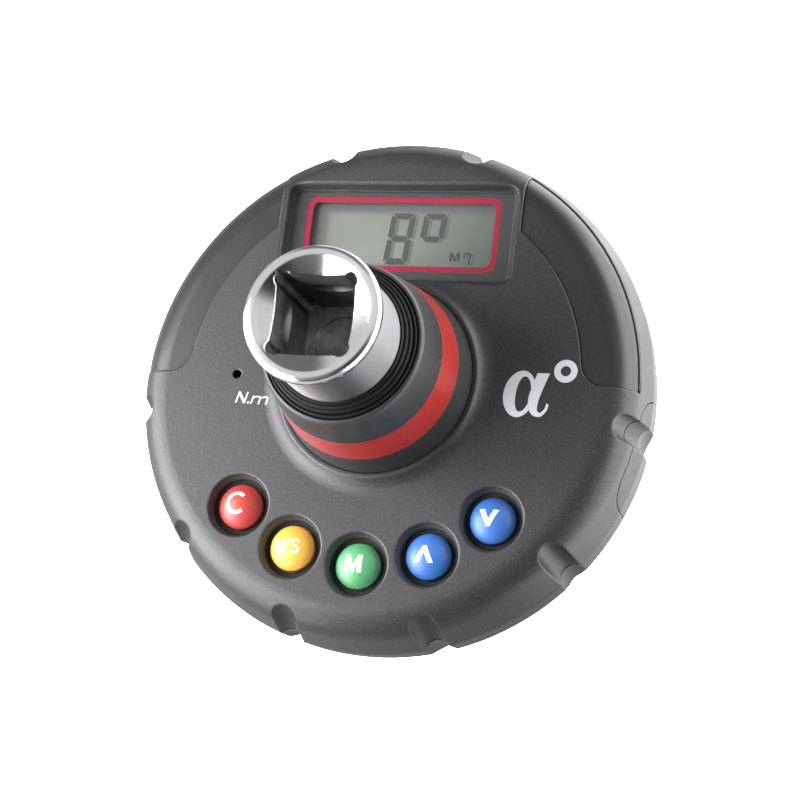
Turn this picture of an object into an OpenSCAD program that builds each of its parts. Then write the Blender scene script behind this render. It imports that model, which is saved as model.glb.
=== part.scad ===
// Torque angle gauge: a round electronic adapter that sits between a wrench and a socket.
// Millimetres, +Z up along the drive axis, tip of the male square at Z = 0, display top toward +Y.

/* [Housing] */
// Radius of the housing at the parting line
body_r = 45.3; // [45.2:0.1:48]
// Thickness of the housing from rear face to display face
body_t = 31; // [31:0.5:36]
// Depth of the front shell from display face to parting line
front_d = 9.5; // [9.2:0.1:10]
// Wall thickness of both shells
wall = 2.6; // [2.5:0.05:2.8]
// Round on the front rim
rim_round = 5.5; // [5:0.1:6]
// Round on the rear rim
rear_round = 4; // [3.5:0.5:5]
// Slope of the rear wall from its bend to the rear rim
rear_slope = 17; // [14:0.5:18]
// Radius of the grip grooves across the rim
groove_r = 2.4; // [2.2:0.1:2.6]
// Angle between neighbouring grip grooves
groove_pitch = 32.73; // [32:0.01:33]

/* [Drive] */
// Length of the drive tail behind the rear face
tail_l = 19; // [18.5:0.5:24]
// Across flats of the female square
socket_af = 12.9; // [12.85:0.01:13]
// Depth of the female square
socket_d = 17.2; // [16.5:0.1:18]
// Across flats of the male square
plug_af = 12.65; // [12.6:0.01:12.7]
// Length of the male square
plug_l = 15.5; // [15:0.1:16]
// Radius of the drive head
head_r = 10.5; // [10.4:0.05:10.7]
// Height of the drive head above the display face
head_h = 36.4; // [35:0.2:40]
// Radius of the shaft journals
journal_r = 10; // [9.8:0.05:10.1]
// Radius of the gauged waist
waist_r = 7.8; // [7.5:0.1:8]
// Radius of the detent ball
ball_r = 2.4; // [2.2:0.1:2.5]

/* [Hub] */
// Radius of the collar where it leaves the face
hub_r = 16.65; // [16.4:0.05:16.8]
// Radius of the collar at its rim
hub_rim_r = 13.65; // [13.5:0.05:13.9]
// Height of the collar rim above the display face
hub_h = 21.1; // [20:0.1:22]
// Height of the coloured band above the display face
band_z = 7.05; // [6:0.05:8]
// Width of the coloured band
band_w = 6.4; // [5:0.1:7]

/* [Display and windows] */
// Half width of the display window
lcd_hx = 20; // [19.4:0.1:20.4]
// Gap from the collar to the lower edge of the display window
lcd_hub = 1.65; // [1.6:0.05:1.9]
// Distance of the window's upper edge inside the parting line
lcd_rim = 10.9; // [10.85:0.05:11.4]
// Depth of the display window below the face
lcd_sink = 1.25; // [1:0.05:1.4]
// Distance of the light windows' inner edge inside the parting line
lamp_in = 10.5; // [9.9:0.1:11.1]
// Thickness of the light windows
lamp_t = 1.6; // [1.4:0.1:1.8]

/* [Buttons] */
// Distance of the five button centres inside the parting line
key_in = 13.4; // [13.1:0.1:13.8]
// Angle between neighbouring buttons
key_pitch = 21.93; // [21.5:0.01:22.5]
// Radius of a button cap
key_r = 3.85; // [3.7:0.05:4]
// Stroke of a button
key_stroke = 0.6; // [0.4:0.05:0.65]

/* [Battery] */
// Direction of the battery drawer, seen from above
bay_az = -12; // [-12.4:0.1:-11.6]
// Radius of the cell
cell_r = 7.25; // [7.1:0.05:7.3]
// Half width of the drawer front
door_w = 9.6; // [9.5:0.05:9.7]

/* [Fits] */
// Clearance between a drawer or cap and its opening
fit_open = 0.2; // [0.15:0.05:0.25]
// Radial clearance of a bush or ring on the shaft
fit_run = 0.05; // [0.03:0.01:0.08]
// Hairline between two fixed pieces
fit_seam = 0.1; // [0.06:0.01:0.14]

/* [Hidden] */
$fn = 96;

face_z = tail_l + body_t;
part_z = face_z - front_d;
rear_z = tail_l;
ceil_z = face_z - wall;
board_z = face_z - 5.7;
board_t = 1.4;
board_r = body_r - 5.3;
rim_c = body_r - rim_round - 1.2;
rim_dr = body_r - rim_c;
rim_dz = front_d - rim_round;
front_draft = atan2(-rim_dz, rim_dr) + acos(rim_round / sqrt(rim_dr * rim_dr + rim_dz * rim_dz));
rear_draft = 2.5;
bend_r = 12;
bend_x = body_r - 3.5 * tan(rear_draft) - bend_r * cos(rear_draft);
bend_z = part_z - 3.5 + bend_r * sin(rear_draft);
bend_dz = bend_z - rear_z - rear_round - (bend_r - rear_round) * sin(rear_slope);
rear_c = bend_x + (bend_r - rear_round) * cos(rear_slope) - bend_dz * tan(rear_slope);
groove_out = body_r + 0.9;
groove_az = [-90 - groove_pitch / 2, -90 + groove_pitch / 2, -90 - groove_pitch * 1.5,
    -90 + groove_pitch * 1.5, -90 - groove_pitch * 2.5, -90 + groove_pitch * 2.5,
    90 - groove_pitch / 2, 90 + groove_pitch / 2];
hub_lip = 1.4;
hub_hole = hub_r + fit_seam;
hub_top = face_z + hub_h;
hub_k = (hub_r - hub_rim_r) / (hub_h - hub_lip);
flange_r = hub_r + 3.75;
flange_z = face_z - 5.2;
bush_r = journal_r + 2.6;
head_top = face_z + head_h;
shoulder_z = face_z + 2.2;
seal_seat_r = hub_rim_r - 0.65;
key_pcr = body_r - key_in;
key_az = [-90 - 2 * key_pitch, -90 - key_pitch, -90, -90 + key_pitch, -90 + 2 * key_pitch];
key_web_z = face_z - 2.1;
key_low_z = board_z + 1.45 + key_stroke;
lcd_low = hub_r + lcd_hub;
lcd_hy = (body_r - lcd_rim - lcd_low) / 2;
lcd_y = lcd_low + lcd_hy;
lcd_top = face_z - lcd_sink;
lcd_t = 1.4;
ledge_top = lcd_top - lcd_t - 0.05;
lamp_r = body_r - lamp_in;
lamp_sink = 0.3;
lamp_low = face_z - 4.2;
lamp_x = lcd_hx + 1.9;
lamp_corner = 4;
lamp_edge = 0.3;
lamp_cy = lamp_edge + lamp_corner;
lamp_cx = sqrt(pow(lamp_r + lamp_corner, 2) - lamp_cy * lamp_cy);
cell_z = face_z - 15.5;
door_h = 10.1;
door_round = 5;
bay_x0 = bush_r - 1.5;
cell_x0 = bay_x0 + 3.6;
cell_l = body_r - wall - cell_x0 - 3;
cradle_end = cell_x0 + cell_l + 0.5;
cradle_r = cell_r + 0.15;
cradle_t = 1;
bay_in = cradle_r + cradle_t + 0.3;
bay_wall = 0.9;
bay_floor = cell_z - cradle_r - cradle_t - 0.35;
post_r = body_r - 6.8;
post_az = [90, 214, 326];
post_seat = rear_z + 13;
post_in = body_r - 12.3;
post_out = body_r - 7.3;
board_posts = [[post_in, 15], [post_in, 165], [post_out, 237], [post_out, 303]];
sound_x = -flange_r - 5.2;
collar_az = [190, 240, 300, 350];
collar_pcr = hub_r + 1.95;
plug_c = 8.35;
ball_z = plug_l / 2;
ball_out = 0.9;
ball_y = -plug_af / 2 - ball_out + ball_r;
spring_end = 2.4;

// Places children at radius r and angle a in plan
module polar(r, a) {
    rotate([0, 0, a])
        translate([r, 0, 0])
            children();
}

// Half section of the front shell's outer form, taken in by d
module front_half(d) {
    intersection() {
        translate([rim_c, face_z - rim_round])
            circle(r = rim_round - d);
        translate([0, face_z - rim_round])
            square([body_r + 5, rim_round + 5]);
    }
    polygon([
        [0, part_z],
        [body_r - d / cos(front_draft), part_z],
        [rim_c + (rim_round - d) * cos(front_draft), face_z - rim_round + (rim_round - d) * sin(front_draft)],
        [rim_c, face_z - d],
        [0, face_z - d]
    ]);
}

// Half section of the rear shell's outer form, taken in by d
module rear_half(d) {
    translate([rear_c, rear_z + rear_round])
        circle(r = rear_round - d);
    bend = [for (i = [0 : 6]) rear_draft + (rear_slope - rear_draft) * i / 6];
    polygon(concat(
        [[0, part_z], [body_r - d / cos(rear_draft), part_z]],
        [for (f = bend) [bend_x + (bend_r - d) * cos(f), bend_z - (bend_r - d) * sin(f)]],
        [
            [rear_c + (rear_round - d) * cos(rear_slope), rear_z + rear_round - (rear_round - d) * sin(rear_slope)],
            [rear_c, rear_z + d],
            [0, rear_z + d]
        ]
    ));
}

// Keeps the part of a half section above height z
module above(z) {
    intersection() {
        children();
        translate([0, z])
            square([body_r + 10, 80]);
    }
}

// Keeps the part of a half section below height z
module below(z) {
    intersection() {
        children();
        translate([0, z - 80])
            square([body_r + 10, 80]);
    }
}

// Ball nosed cutter for the front run of one grip groove, leaning with the rim
module groove_front() {
    lean = atan2(2.9, front_d - 1.4);
    run = (front_d - 1.4) / cos(lean);
    translate([groove_out, 0, part_z])
        rotate([0, -lean, 0])
            rotate_extrude()
                intersection() {
                    union() {
                        translate([0, run])
                            circle(r = groove_r);
                        translate([0, -4])
                            square([groove_r, run + 4]);
                    }
                    translate([0, -5])
                        square([groove_r + 1, run + groove_r + 6]);
                }
}

// Cutter for the rear run of one grip groove, leaning with the side wall
module groove_rear() {
    translate([groove_out, 0, part_z])
        rotate([0, 180 + 0.6 * rear_slope, 0])
            translate([0, 0, -0.5])
                cylinder(r = groove_r, h = part_z - rear_z + 4);
}

// Rounded rectangle in plan
module round_rect(hx, hy, r) {
    square([2 * hx, 2 * (hy - r)], center = true);
    square([2 * (hx - r), 2 * hy], center = true);
    for (sx = [-1, 1])
        for (sy = [-1, 1])
            translate([sx * (hx - r), sy * (hy - r)])
                circle(r = r, $fn = 48);
}

// Pocket with sloped walls and round corners, hx by hy at z0, grown by g at z1
module sloped_pocket(hx, hy, r, g, z0, z1) {
    h = z1 - z0;
    cx = hx - r;
    cy = hy - r;
    translate([0, cy, z0])
        rotate([90, 0, 0])
            linear_extrude(height = 2 * cy)
                polygon([[-hx, 0], [hx, 0], [hx + g, h], [-hx - g, h]]);
    translate([-cx, 0, z0])
        rotate([90, 0, 90])
            linear_extrude(height = 2 * cx)
                polygon([[-hy, 0], [hy, 0], [hy + g, h], [-hy - g, h]]);
    for (sx = [-1, 1])
        for (sy = [-1, 1])
            translate([sx * cx, sy * cy, z0])
                cylinder(r1 = r, r2 = r + g, h = h, $fn = 48);
}

// Plan of the right light window, grown by c all round
module lamp_plan(c) {
    tx = lamp_cx * lamp_r / (lamp_r + lamp_corner);
    ty = lamp_cy * lamp_r / (lamp_r + lamp_corner);
    difference() {
        translate([lamp_x - c, lamp_edge - c])
            square([body_r, body_r]);
        circle(r = lamp_r - c);
        difference() {
            polygon([[lamp_r - 2, -2], [lamp_cx, -2], [lamp_cx, lamp_cy], [tx, ty], [lamp_r - 2, ty]]);
            translate([lamp_cx, lamp_cy])
                circle(r = lamp_corner + c, $fn = 48);
        }
    }
}

// Right light window as a skin of the front form
module lamp_body() {
    intersection() {
        rotate_extrude()
            above(lamp_low)
                difference() {
                    front_half(lamp_sink);
                    front_half(lamp_sink + lamp_t);
                }
        translate([0, 0, lamp_low - 1])
            linear_extrude(height = 8)
                lamp_plan(0);
    }
}

// Seat and light opening of the right light window
module lamp_cut() {
    intersection() {
        rotate_extrude()
            above(lamp_low - fit_seam)
                difference() {
                    square([body_r + 5, face_z + 5]);
                    front_half(lamp_sink + lamp_t + 0.05);
                }
        translate([0, 0, lamp_low - 1])
            linear_extrude(height = 10)
                lamp_plan(fit_seam);
    }
    intersection() {
        translate([0, 0, board_z])
            linear_extrude(height = 10)
                lamp_plan(-1.5);
        rotate_extrude()
            translate([lamp_r, board_z])
                square([rim_c + 1.4 - lamp_r, face_z - board_z + 1]);
    }
}

// Drawer opening prism along the drawer axis, grown by c
module door_prism(c) {
    rotate([0, 0, bay_az])
        translate([body_r - 12, 0, cell_z])
            rotate([90, 0, 90])
                linear_extrude(height = 20)
                    round_rect(door_w + c, door_h + c, door_round + c);
}

module front_shell() {
    color("#4a4b4f")
        difference() {
            union() {
                rotate_extrude()
                    difference() {
                        union() {
                            front_half(0);
                            translate([hub_hole - 0.5, face_z - 1])
                                square([4.1, 1 + hub_lip]);
                        }
                        translate([hub_hole + 3.6, face_z + 3.6])
                            circle(r = 3.6);
                        front_half(wall);
                    }
                translate([-lcd_hx - 2.2, lcd_y - lcd_hy - 1, ledge_top - 1.2])
                    cube([2 * lcd_hx + 4.4, 2 * lcd_hy + 3, ceil_z - ledge_top + 1.4]);
                for (a = post_az)
                    polar(post_r, a)
                        translate([0, 0, part_z])
                            cylinder(r = 3, h = ceil_z - part_z + 0.3, $fn = 48);
                for (p = board_posts)
                    polar(p[0], p[1])
                        translate([0, 0, board_z + 0.1])
                            cylinder(r = 2.4, h = ceil_z - board_z + 0.2, $fn = 48);
            }
            translate([0, 0, part_z])
                cylinder(r = hub_hole, h = front_d + 5);
            translate([0, lcd_y, ledge_top])
                linear_extrude(height = lcd_t)
                    round_rect(lcd_hx + fit_seam, lcd_hy + fit_seam, 1.2);
            translate([0, lcd_y, lcd_top - 0.2])
                sloped_pocket(lcd_hx + fit_seam, lcd_hy + fit_seam, 1.2, 1.9, 0, lcd_sink + 1.8);
            translate([0, lcd_y, face_z - 0.3])
                sloped_pocket(lcd_hx + 0.8, lcd_hy + 0.8, 1.9, 1.6, 0, 1.6);
            translate([-lcd_hx + 1.9, lcd_y - lcd_hy + 1.1, ledge_top - 2])
                cube([2 * lcd_hx - 3.8, 2 * lcd_hy - 1.9, 3]);
            lamp_cut();
            mirror([1, 0, 0])
                lamp_cut();
            for (a = key_az)
                polar(key_pcr, a) {
                    translate([0, 0, key_web_z])
                        cylinder(r1 = key_r + 0.95, r2 = key_r + 1.66, h = face_z - key_web_z + 0.01);
                    translate([0, 0, ceil_z - 1])
                        cylinder(r = key_r + fit_open, h = 4);
                }
            translate([sound_x, 0, ceil_z - 1])
                cylinder(r = 0.78, h = 5, $fn = 32);
            for (a = groove_az)
                rotate([0, 0, a])
                    groove_front();
            door_prism(fit_open);
            for (a = post_az)
                polar(post_r, a)
                    translate([0, 0, part_z - 1])
                        cylinder(r = 1.25, h = 6.5, $fn = 32);
            for (p = board_posts)
                polar(p[0], p[1])
                    translate([0, 0, board_z])
                        cylinder(r = 1, h = 2.8, $fn = 32);
            for (a = collar_az)
                polar(collar_pcr, a)
                    translate([0, 0, ceil_z - 0.5])
                        cylinder(r = 0.85, h = 2.2, $fn = 32);
        }
}

module rear_shell() {
    color("#47484c")
        difference() {
            union() {
                rotate_extrude()
                    below(part_z - fit_seam)
                        difference() {
                            rear_half(0);
                            above(rear_z + wall)
                                rear_half(wall);
                        }
                translate([0, 0, rear_z])
                    cylinder(r = bush_r + 3.2, h = 4.8);
                intersection() {
                    for (a = post_az)
                        polar(post_r, a)
                            translate([0, 0, rear_z + 1.5])
                                cylinder(r = 4.1, h = part_z - fit_seam - rear_z - 1.5, $fn = 48);
                    rotate_extrude()
                        rear_half(0.4);
                }
            }
            translate([0, 0, rear_z - 1])
                cylinder(r = bush_r, h = 8);
            for (a = groove_az)
                rotate([0, 0, a])
                    groove_rear();
            door_prism(fit_open);
            for (a = post_az)
                polar(post_r, a) {
                    translate([0, 0, rear_z - 1])
                        cylinder(r = 3, h = post_seat - rear_z + 1, $fn = 48);
                    translate([0, 0, rear_z])
                        cylinder(r = 1.6, h = body_t, $fn = 32);
                }
        }
}

module hub_collar() {
    color("#3c3d40")
        difference() {
            rotate_extrude()
                polygon([
                    [bush_r, flange_z],
                    [flange_r, flange_z],
                    [flange_r, ceil_z - 0.2],
                    [hub_r, ceil_z - 0.2],
                    [hub_r, face_z + hub_lip],
                    [hub_r - hub_k * (band_z - hub_lip), face_z + band_z],
                    [hub_r - hub_k * (band_z - hub_lip) - 0.6, face_z + band_z],
                    [hub_r - hub_k * (band_z + band_w - hub_lip) - 0.6, face_z + band_z + band_w],
                    [hub_r - hub_k * (band_z + band_w - hub_lip), face_z + band_z + band_w],
                    [hub_rim_r + hub_k * 0.65, hub_top - 0.65],
                    for (t = [18 : 18 : 72])
                        [seal_seat_r + 0.65 * cos(t), hub_top - 0.65 + 0.65 * sin(t)],
                    [seal_seat_r, hub_top],
                    [seal_seat_r, hub_top - 2.5],
                    [head_r + 0.9, hub_top - 2.5],
                    [head_r + 0.9, shoulder_z],
                    [bush_r, shoulder_z]
                ]);
            translate([-30, hub_r + 0.15, flange_z - 1])
                cube([60, 20, ceil_z - flange_z + 3]);
            for (a = collar_az)
                polar(collar_pcr, a)
                    translate([0, 0, flange_z - 1])
                        cylinder(r = 0.95, h = 4, $fn = 32);
            translate([-1.55, -bush_r - 0.8, flange_z - 1])
                cube([3.1, 2, shoulder_z - flange_z]);
        }
}

module red_band() {
    color("#d8231f")
        rotate_extrude()
            polygon([
                [hub_r - hub_k * (band_z + 0.05 - hub_lip) - 0.55, face_z + band_z + 0.05],
                [hub_r - hub_k * (band_z + 0.05 - hub_lip) + 0.03, face_z + band_z + 0.05],
                [hub_r - hub_k * (band_z + band_w - 0.05 - hub_lip) + 0.03, face_z + band_z + band_w - 0.05],
                [hub_r - hub_k * (band_z + band_w - 0.05 - hub_lip) - 0.55, face_z + band_z + band_w - 0.05]
            ]);
}

module front_seal() {
    lip = head_r + fit_run;
    out = seal_seat_r - 0.05;
    color("#1b1b1d")
        rotate_extrude() {
            polygon([
                [lip + 0.6, hub_top - 2.45],
                [out, hub_top - 2.45],
                [out, hub_top - 0.6],
                [out - 0.4, hub_top - 0.2],
                [lip + 0.25, hub_top + 2],
                [lip, hub_top + 2],
                [lip, hub_top + 0.8],
                [lip + 0.6, hub_top]
            ]);
            for (i = [0:2])
                translate([out - 0.55 - i * 0.58, hub_top + 0.05 + i * 0.66])
                    circle(r = 0.32, $fn = 32);
        }
}

// Turned outline of the shaft above the male square
module shaft_turned() {
    rotate_extrude()
        polygon([
            [0, plug_l - 0.5],
            [journal_r - 0.8, plug_l - 0.5],
            [journal_r, plug_l + 0.3],
            [journal_r, rear_z + 6],
            [waist_r, rear_z + 8.2],
            [waist_r, flange_z - 5.4],
            [journal_r, flange_z - 3.2],
            [journal_r, flange_z - 1.3],
            [journal_r - 0.7, flange_z - 1.3],
            [journal_r - 0.7, flange_z - 0.15],
            [journal_r, flange_z - 0.15],
            [journal_r, shoulder_z + 0.05],
            [head_r, shoulder_z + 0.05],
            [head_r, head_top - 2.4],
            [head_r + 0.7, head_top - 1.7],
            [head_r + 0.7, head_top - 0.85],
            [head_r + 0.45, head_top - 0.25],
            [head_r - 0.15, head_top],
            [0, head_top]
        ]);
}

module drive_shaft() {
    color("#d9dadd")
        difference() {
            union() {
                difference() {
                    shaft_turned();
                    for (a = [0, 90, 180, 270])
                        rotate([0, 0, a])
                            translate([waist_r - 0.9, -waist_r, rear_z + 9])
                                cube([waist_r, 2 * waist_r, flange_z - rear_z - 15.2]);
                }
                intersection() {
                    translate([-plug_af / 2, -plug_af / 2, 0])
                        cube([plug_af, plug_af, plug_l]);
                    cylinder(r = plug_c, h = plug_l);
                    cylinder(r1 = plug_af / 2 + 0.2, r2 = plug_af / 2 + 0.2 + plug_l * 1.4, h = plug_l);
                }
            }
            translate([0, 0, head_top - socket_d]) {
                translate([-socket_af / 2, -socket_af / 2, 0])
                    cube([socket_af, socket_af, socket_d + 1]);
                for (sx = [-1, 1])
                    for (sy = [-1, 1])
                        translate([sx * (socket_af / 2 - 1), sy * (socket_af / 2 - 1), 0])
                            cylinder(r = 1.35, h = socket_d + 1, $fn = 32);
                translate([0, 0, -0.5])
                    cylinder(r = 4.85, h = 1);
            }
            translate([0, 0, head_top - 1.55])
                cylinder(r1 = socket_af / 2, r2 = socket_af / 2 + 3.08 + 0.02, h = 1.56);
            rotate_extrude()
                translate([socket_af / 2 - 0.7, head_top - 7.8])
                    circle(r = 1.75, $fn = 48);
            for (a = [0, 90])
                rotate([0, 0, a])
                    translate([0, 0, head_top - 7.8])
                        rotate([0, 90, 0])
                            cylinder(r = 0.7, h = 17.2, center = true, $fn = 32);
            translate([0, -plug_af / 2 - 1, ball_z])
                rotate([-90, 0, 0])
                    cylinder(r = ball_r + fit_run, h = plug_af / 2 + 1 + spring_end, $fn = 48);
            translate([-1.5, -journal_r - 1, flange_z + 1.2])
                cube([3, 2.4, 5]);
        }
}

module front_bush() {
    color("#b08d57")
        difference() {
            translate([0, 0, flange_z + 0.1])
                cylinder(r = bush_r - 0.02, h = shoulder_z - flange_z - 0.15);
            translate([0, 0, flange_z - 1])
                cylinder(r = journal_r + fit_run, h = 10);
            translate([-1.55, -bush_r - 1, flange_z - 1])
                cube([3.1, 5, 8]);
        }
}

module rear_bush() {
    color("#b08d57")
        difference() {
            translate([0, 0, rear_z + 2])
                cylinder(r = bush_r - 0.02, h = 2.8);
            translate([0, 0, rear_z])
                cylinder(r = journal_r + fit_run, h = 8);
        }
}

module rear_seal() {
    color("#1b1b1d")
        rotate_extrude()
            polygon([
                [journal_r + fit_run, rear_z - 0.4],
                [journal_r + 0.6, rear_z - 0.4],
                [journal_r + 1.1, rear_z + 0.2],
                [bush_r - 0.03, rear_z + 0.2],
                [bush_r - 0.03, rear_z + 1.9],
                [journal_r + 0.6, rear_z + 1.9],
                [journal_r + fit_run, rear_z + 1.1]
            ]);
}

module retaining_ring() {
    color("#5a5a5e")
        difference() {
            translate([0, 0, flange_z - 1.25])
                cylinder(r = journal_r + 2.2, h = 1.05);
            translate([0, 0, flange_z - 2])
                cylinder(r = journal_r - 0.66, h = 3);
            translate([0, -1.5, flange_z - 2])
                cube([20, 3, 3]);
        }
}

module shaft_key() {
    color("#9a9ca0")
        translate([-1.48, -bush_r - 0.7, flange_z + 1.25])
            cube([2.96, bush_r + 0.7 - journal_r + 1.3, 4.9]);
}

module strain_gauges() {
    color("#c9a24a")
        for (a = [0, 90, 180, 270])
            rotate([0, 0, a])
                translate([waist_r - 0.88, -2.5, rear_z + 10.6])
                    cube([0.2, 5, 7]);
}

module gauge_flex() {
    color("#b5702c")
        translate([0, 2.5, 0])
            rotate([90, 0, 0])
                linear_extrude(height = 5)
                    polygon([
                        [-waist_r + 0.62, rear_z + 12],
                        [-waist_r + 0.45, rear_z + 12],
                        [-waist_r - 0.2, flange_z - 5.6],
                        [-13.5, board_z - board_t - 0.5],
                        [-flange_r - 4.6, board_z - board_t - 0.35],
                        [-flange_r - 4.6, board_z - board_t - 0.15],
                        [-13.3, board_z - board_t - 0.3],
                        [-waist_r - 0.02, flange_z - 5.5]
                    ]);
}

module main_board() {
    color("#1f5b39")
        difference() {
            translate([0, 0, board_z - board_t])
                cylinder(r = board_r, h = board_t);
            translate([0, 0, board_z - 5])
                cylinder(r = flange_r + 0.6, h = 10);
            for (a = post_az)
                polar(post_r, a)
                    translate([0, 0, board_z - 5])
                        cylinder(r = 3.4, h = 10, $fn = 48);
            for (p = board_posts)
                polar(p[0], p[1])
                    translate([0, 0, board_z - 5])
                        cylinder(r = 1.15, h = 10, $fn = 32);
        }
}

module lcd_panel() {
    color("#9aa392")
        translate([-lcd_hx + 2.2, lcd_y - lcd_hy + 1.4, board_z + 0.95])
            cube([2 * lcd_hx - 4.4, 2 * lcd_hy - 2.5, ledge_top - board_z - 2]);
}

module lcd_holder() {
    color("#2c2d30")
        difference() {
            translate([-lcd_hx - 0.4, lcd_y - lcd_hy - 0.3, board_z + 0.06])
                cube([2 * lcd_hx + 0.8, 2 * lcd_hy + 1.2, ledge_top - 1.3 - board_z]);
            translate([-lcd_hx + 2, lcd_y - lcd_hy + 1.2, board_z - 1])
                cube([2 * lcd_hx - 4, 2 * lcd_hy - 2.1, 6]);
        }
}

module lcd_connectors() {
    color("#d6d0c4")
        for (y = [lcd_y - lcd_hy + 1.6, lcd_y + lcd_hy - 2.9])
            translate([-lcd_hx + 3, y, board_z + 0.05])
                cube([2 * lcd_hx - 6, 1.6, 0.85]);
}

module display_window() {
    color("#5c6160")
        translate([0, lcd_y, lcd_top - lcd_t])
            linear_extrude(height = lcd_t)
                round_rect(lcd_hx, lcd_hy, 1.2);
}

module light_window_right() {
    color("#5a5b5f")
        lamp_body();
}

module light_window_left() {
    color("#5a5b5f")
        mirror([1, 0, 0])
            lamp_body();
}

module warning_leds() {
    color("#e8e4d4")
        for (a = [20, 32, 44, 136, 148, 160])
            polar(board_r - 2.2, a)
                translate([-1.4, -1.6, board_z + 0.04])
                    cube([2.8, 3.2, 1.1]);
}

module buzzer() {
    color("#222225")
        translate([sound_x, 0, board_z + 0.04])
            difference() {
                cylinder(r = 5, h = 2.6);
                translate([0, 0, 1.6])
                    cylinder(r = 0.9, h = 2, $fn = 32);
            }
}

module controller_chip() {
    color("#1a1a1c")
        translate([flange_r + 2.8, -9.6, board_z + 0.04])
            cube([9, 9, 1.3]);
}

module gyro_sensor() {
    color("#202024")
        translate([sound_x - 3.4, -14, board_z + 0.04])
            cube([4, 4, 1]);
}

module key_switches() {
    color("#8d8f93")
        for (a = key_az)
            polar(key_pcr, a)
                translate([0, 0, board_z + 0.04]) {
                    translate([-2.5, -2.5, 0])
                        cube([5, 5, 0.75]);
                    cylinder(r = 1.5, h = 1, $fn = 32);
                }
}

// One domed cap with its retaining flange
module key_cap(a) {
    edge = face_z - 1.4;
    crown = face_z + 0.3;
    dome = (key_r * key_r + pow(crown - edge, 2)) / (2 * (crown - edge));
    polar(key_pcr, a)
        rotate_extrude() {
            translate([0, key_low_z])
                square([key_r + 1, 0.8]);
            intersection() {
                translate([0, key_low_z])
                    square([key_r, crown - key_low_z + 1]);
                union() {
                    translate([0, crown - dome])
                        circle(r = dome);
                    translate([0, key_low_z])
                        square([key_r, edge - key_low_z]);
                }
            }
        }
}

module clear_button() {
    color("#d93a36")
        key_cap(key_az[0]);
}

module unit_button() {
    color("#f0b43c")
        key_cap(key_az[1]);
}

module memory_button() {
    color("#2f9e52")
        key_cap(key_az[2]);
}

module up_button() {
    color("#2f6fd0")
        key_cap(key_az[3]);
}

module down_button() {
    color("#2f6fd0")
        key_cap(key_az[4]);
}

module battery_bay() {
    color("#2b2b2e")
        rotate([0, 0, bay_az])
            difference() {
                union() {
                    translate([bay_x0, -bay_in - bay_wall, bay_floor - 0.9])
                        cube([body_r - bay_x0 - 14.3, 2 * (bay_in + bay_wall), 13.7]);
                    for (y = [-7, 5])
                        translate([20, y, rear_z + wall + 0.05])
                            cube([body_r - 34.4, 2, bay_floor - rear_z - wall - 0.5]);
                }
                translate([bay_x0 + 1, -bay_in, bay_floor])
                    cube([body_r, 2 * bay_in, 30]);
            }
}

module cell_contact() {
    color("#c8b273")
        rotate([0, 0, bay_az])
            translate([bay_x0 + 1.05, 0, cell_z])
                rotate([0, 90, 0]) {
                    cylinder(r = 5, h = 0.4);
                    cylinder(r1 = 4, r2 = 2.5, h = 1.5);
                }
}

module battery_drawer() {
    color("#47484c")
        difference() {
            union() {
                intersection() {
                    rotate_extrude()
                        difference() {
                            union() {
                                front_half(0);
                                rear_half(0);
                            }
                            front_half(wall);
                            rear_half(wall);
                        }
                    door_prism(0);
                }
                intersection() {
                    rotate([0, 0, bay_az])
                        translate([cell_x0 - 0.6, 0, cell_z])
                            rotate([0, 90, 0])
                                difference() {
                                    cylinder(r = cradle_r + cradle_t, h = body_r - cell_x0);
                                    translate([0, 0, -1])
                                        cylinder(r = cradle_r, h = cradle_end - cell_x0 + 1.6);
                                    translate([-20, -10, -1])
                                        cube([20, 20, cradle_end - cell_x0 + 1.6]);
                                }
                    rotate_extrude() {
                        front_half(wall - 0.6);
                        rear_half(wall - 0.6);
                    }
                }
            }
            for (a = [-90 + groove_pitch * 2.5])
                rotate([0, 0, a]) {
                    groove_front();
                    groove_rear();
                }
        }
}

module drawer_contact() {
    color("#c8b273")
        rotate([0, 0, bay_az])
            translate([cell_x0 + cell_l + 0.05, 0, cell_z])
                rotate([0, 90, 0])
                    cylinder(r = 5, h = 0.35);
}

module battery_cell() {
    color("#2d3f6b")
        rotate([0, 0, bay_az])
            translate([cell_x0, 0, cell_z])
                rotate([0, 90, 0]) {
                    cylinder(r = cell_r, h = cell_l);
                    translate([0, 0, -0.8])
                        cylinder(r = 3, h = 1);
                }
}

module housing_screws() {
    color("#8f9196")
        for (a = post_az)
            polar(post_r, a)
                difference() {
                    union() {
                        translate([0, 0, post_seat - 2])
                            cylinder(r = 2.7, h = 2, $fn = 48);
                        translate([0, 0, post_seat - 0.5])
                            cylinder(r = 1.22, h = part_z + 4.5 - post_seat, $fn = 32);
                    }
                    translate([-0.35, -1.6, post_seat - 3])
                        cube([0.7, 3.2, 2]);
                    translate([-1.6, -0.35, post_seat - 3])
                        cube([3.2, 0.7, 2]);
                }
}

module board_screws() {
    color("#8f9196")
        for (p = board_posts)
            polar(p[0], p[1]) {
                translate([0, 0, board_z - board_t - 1.25])
                    cylinder(r = 1.8, h = 1.2, $fn = 48);
                translate([0, 0, board_z - board_t - 0.5])
                    cylinder(r = 0.97, h = 4, $fn = 32);
            }
}

module collar_screws() {
    color("#8f9196")
        for (a = collar_az)
            polar(collar_pcr, a) {
                translate([0, 0, flange_z - 1.15])
                    cylinder(r = 1.6, h = 1.1, $fn = 48);
                translate([0, 0, flange_z - 0.5])
                    cylinder(r = 0.82, h = 4.6, $fn = 32);
            }
}

module detent_ball() {
    color("#e6e6e8")
        translate([0, ball_y, ball_z])
            sphere(r = ball_r);
}

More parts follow.
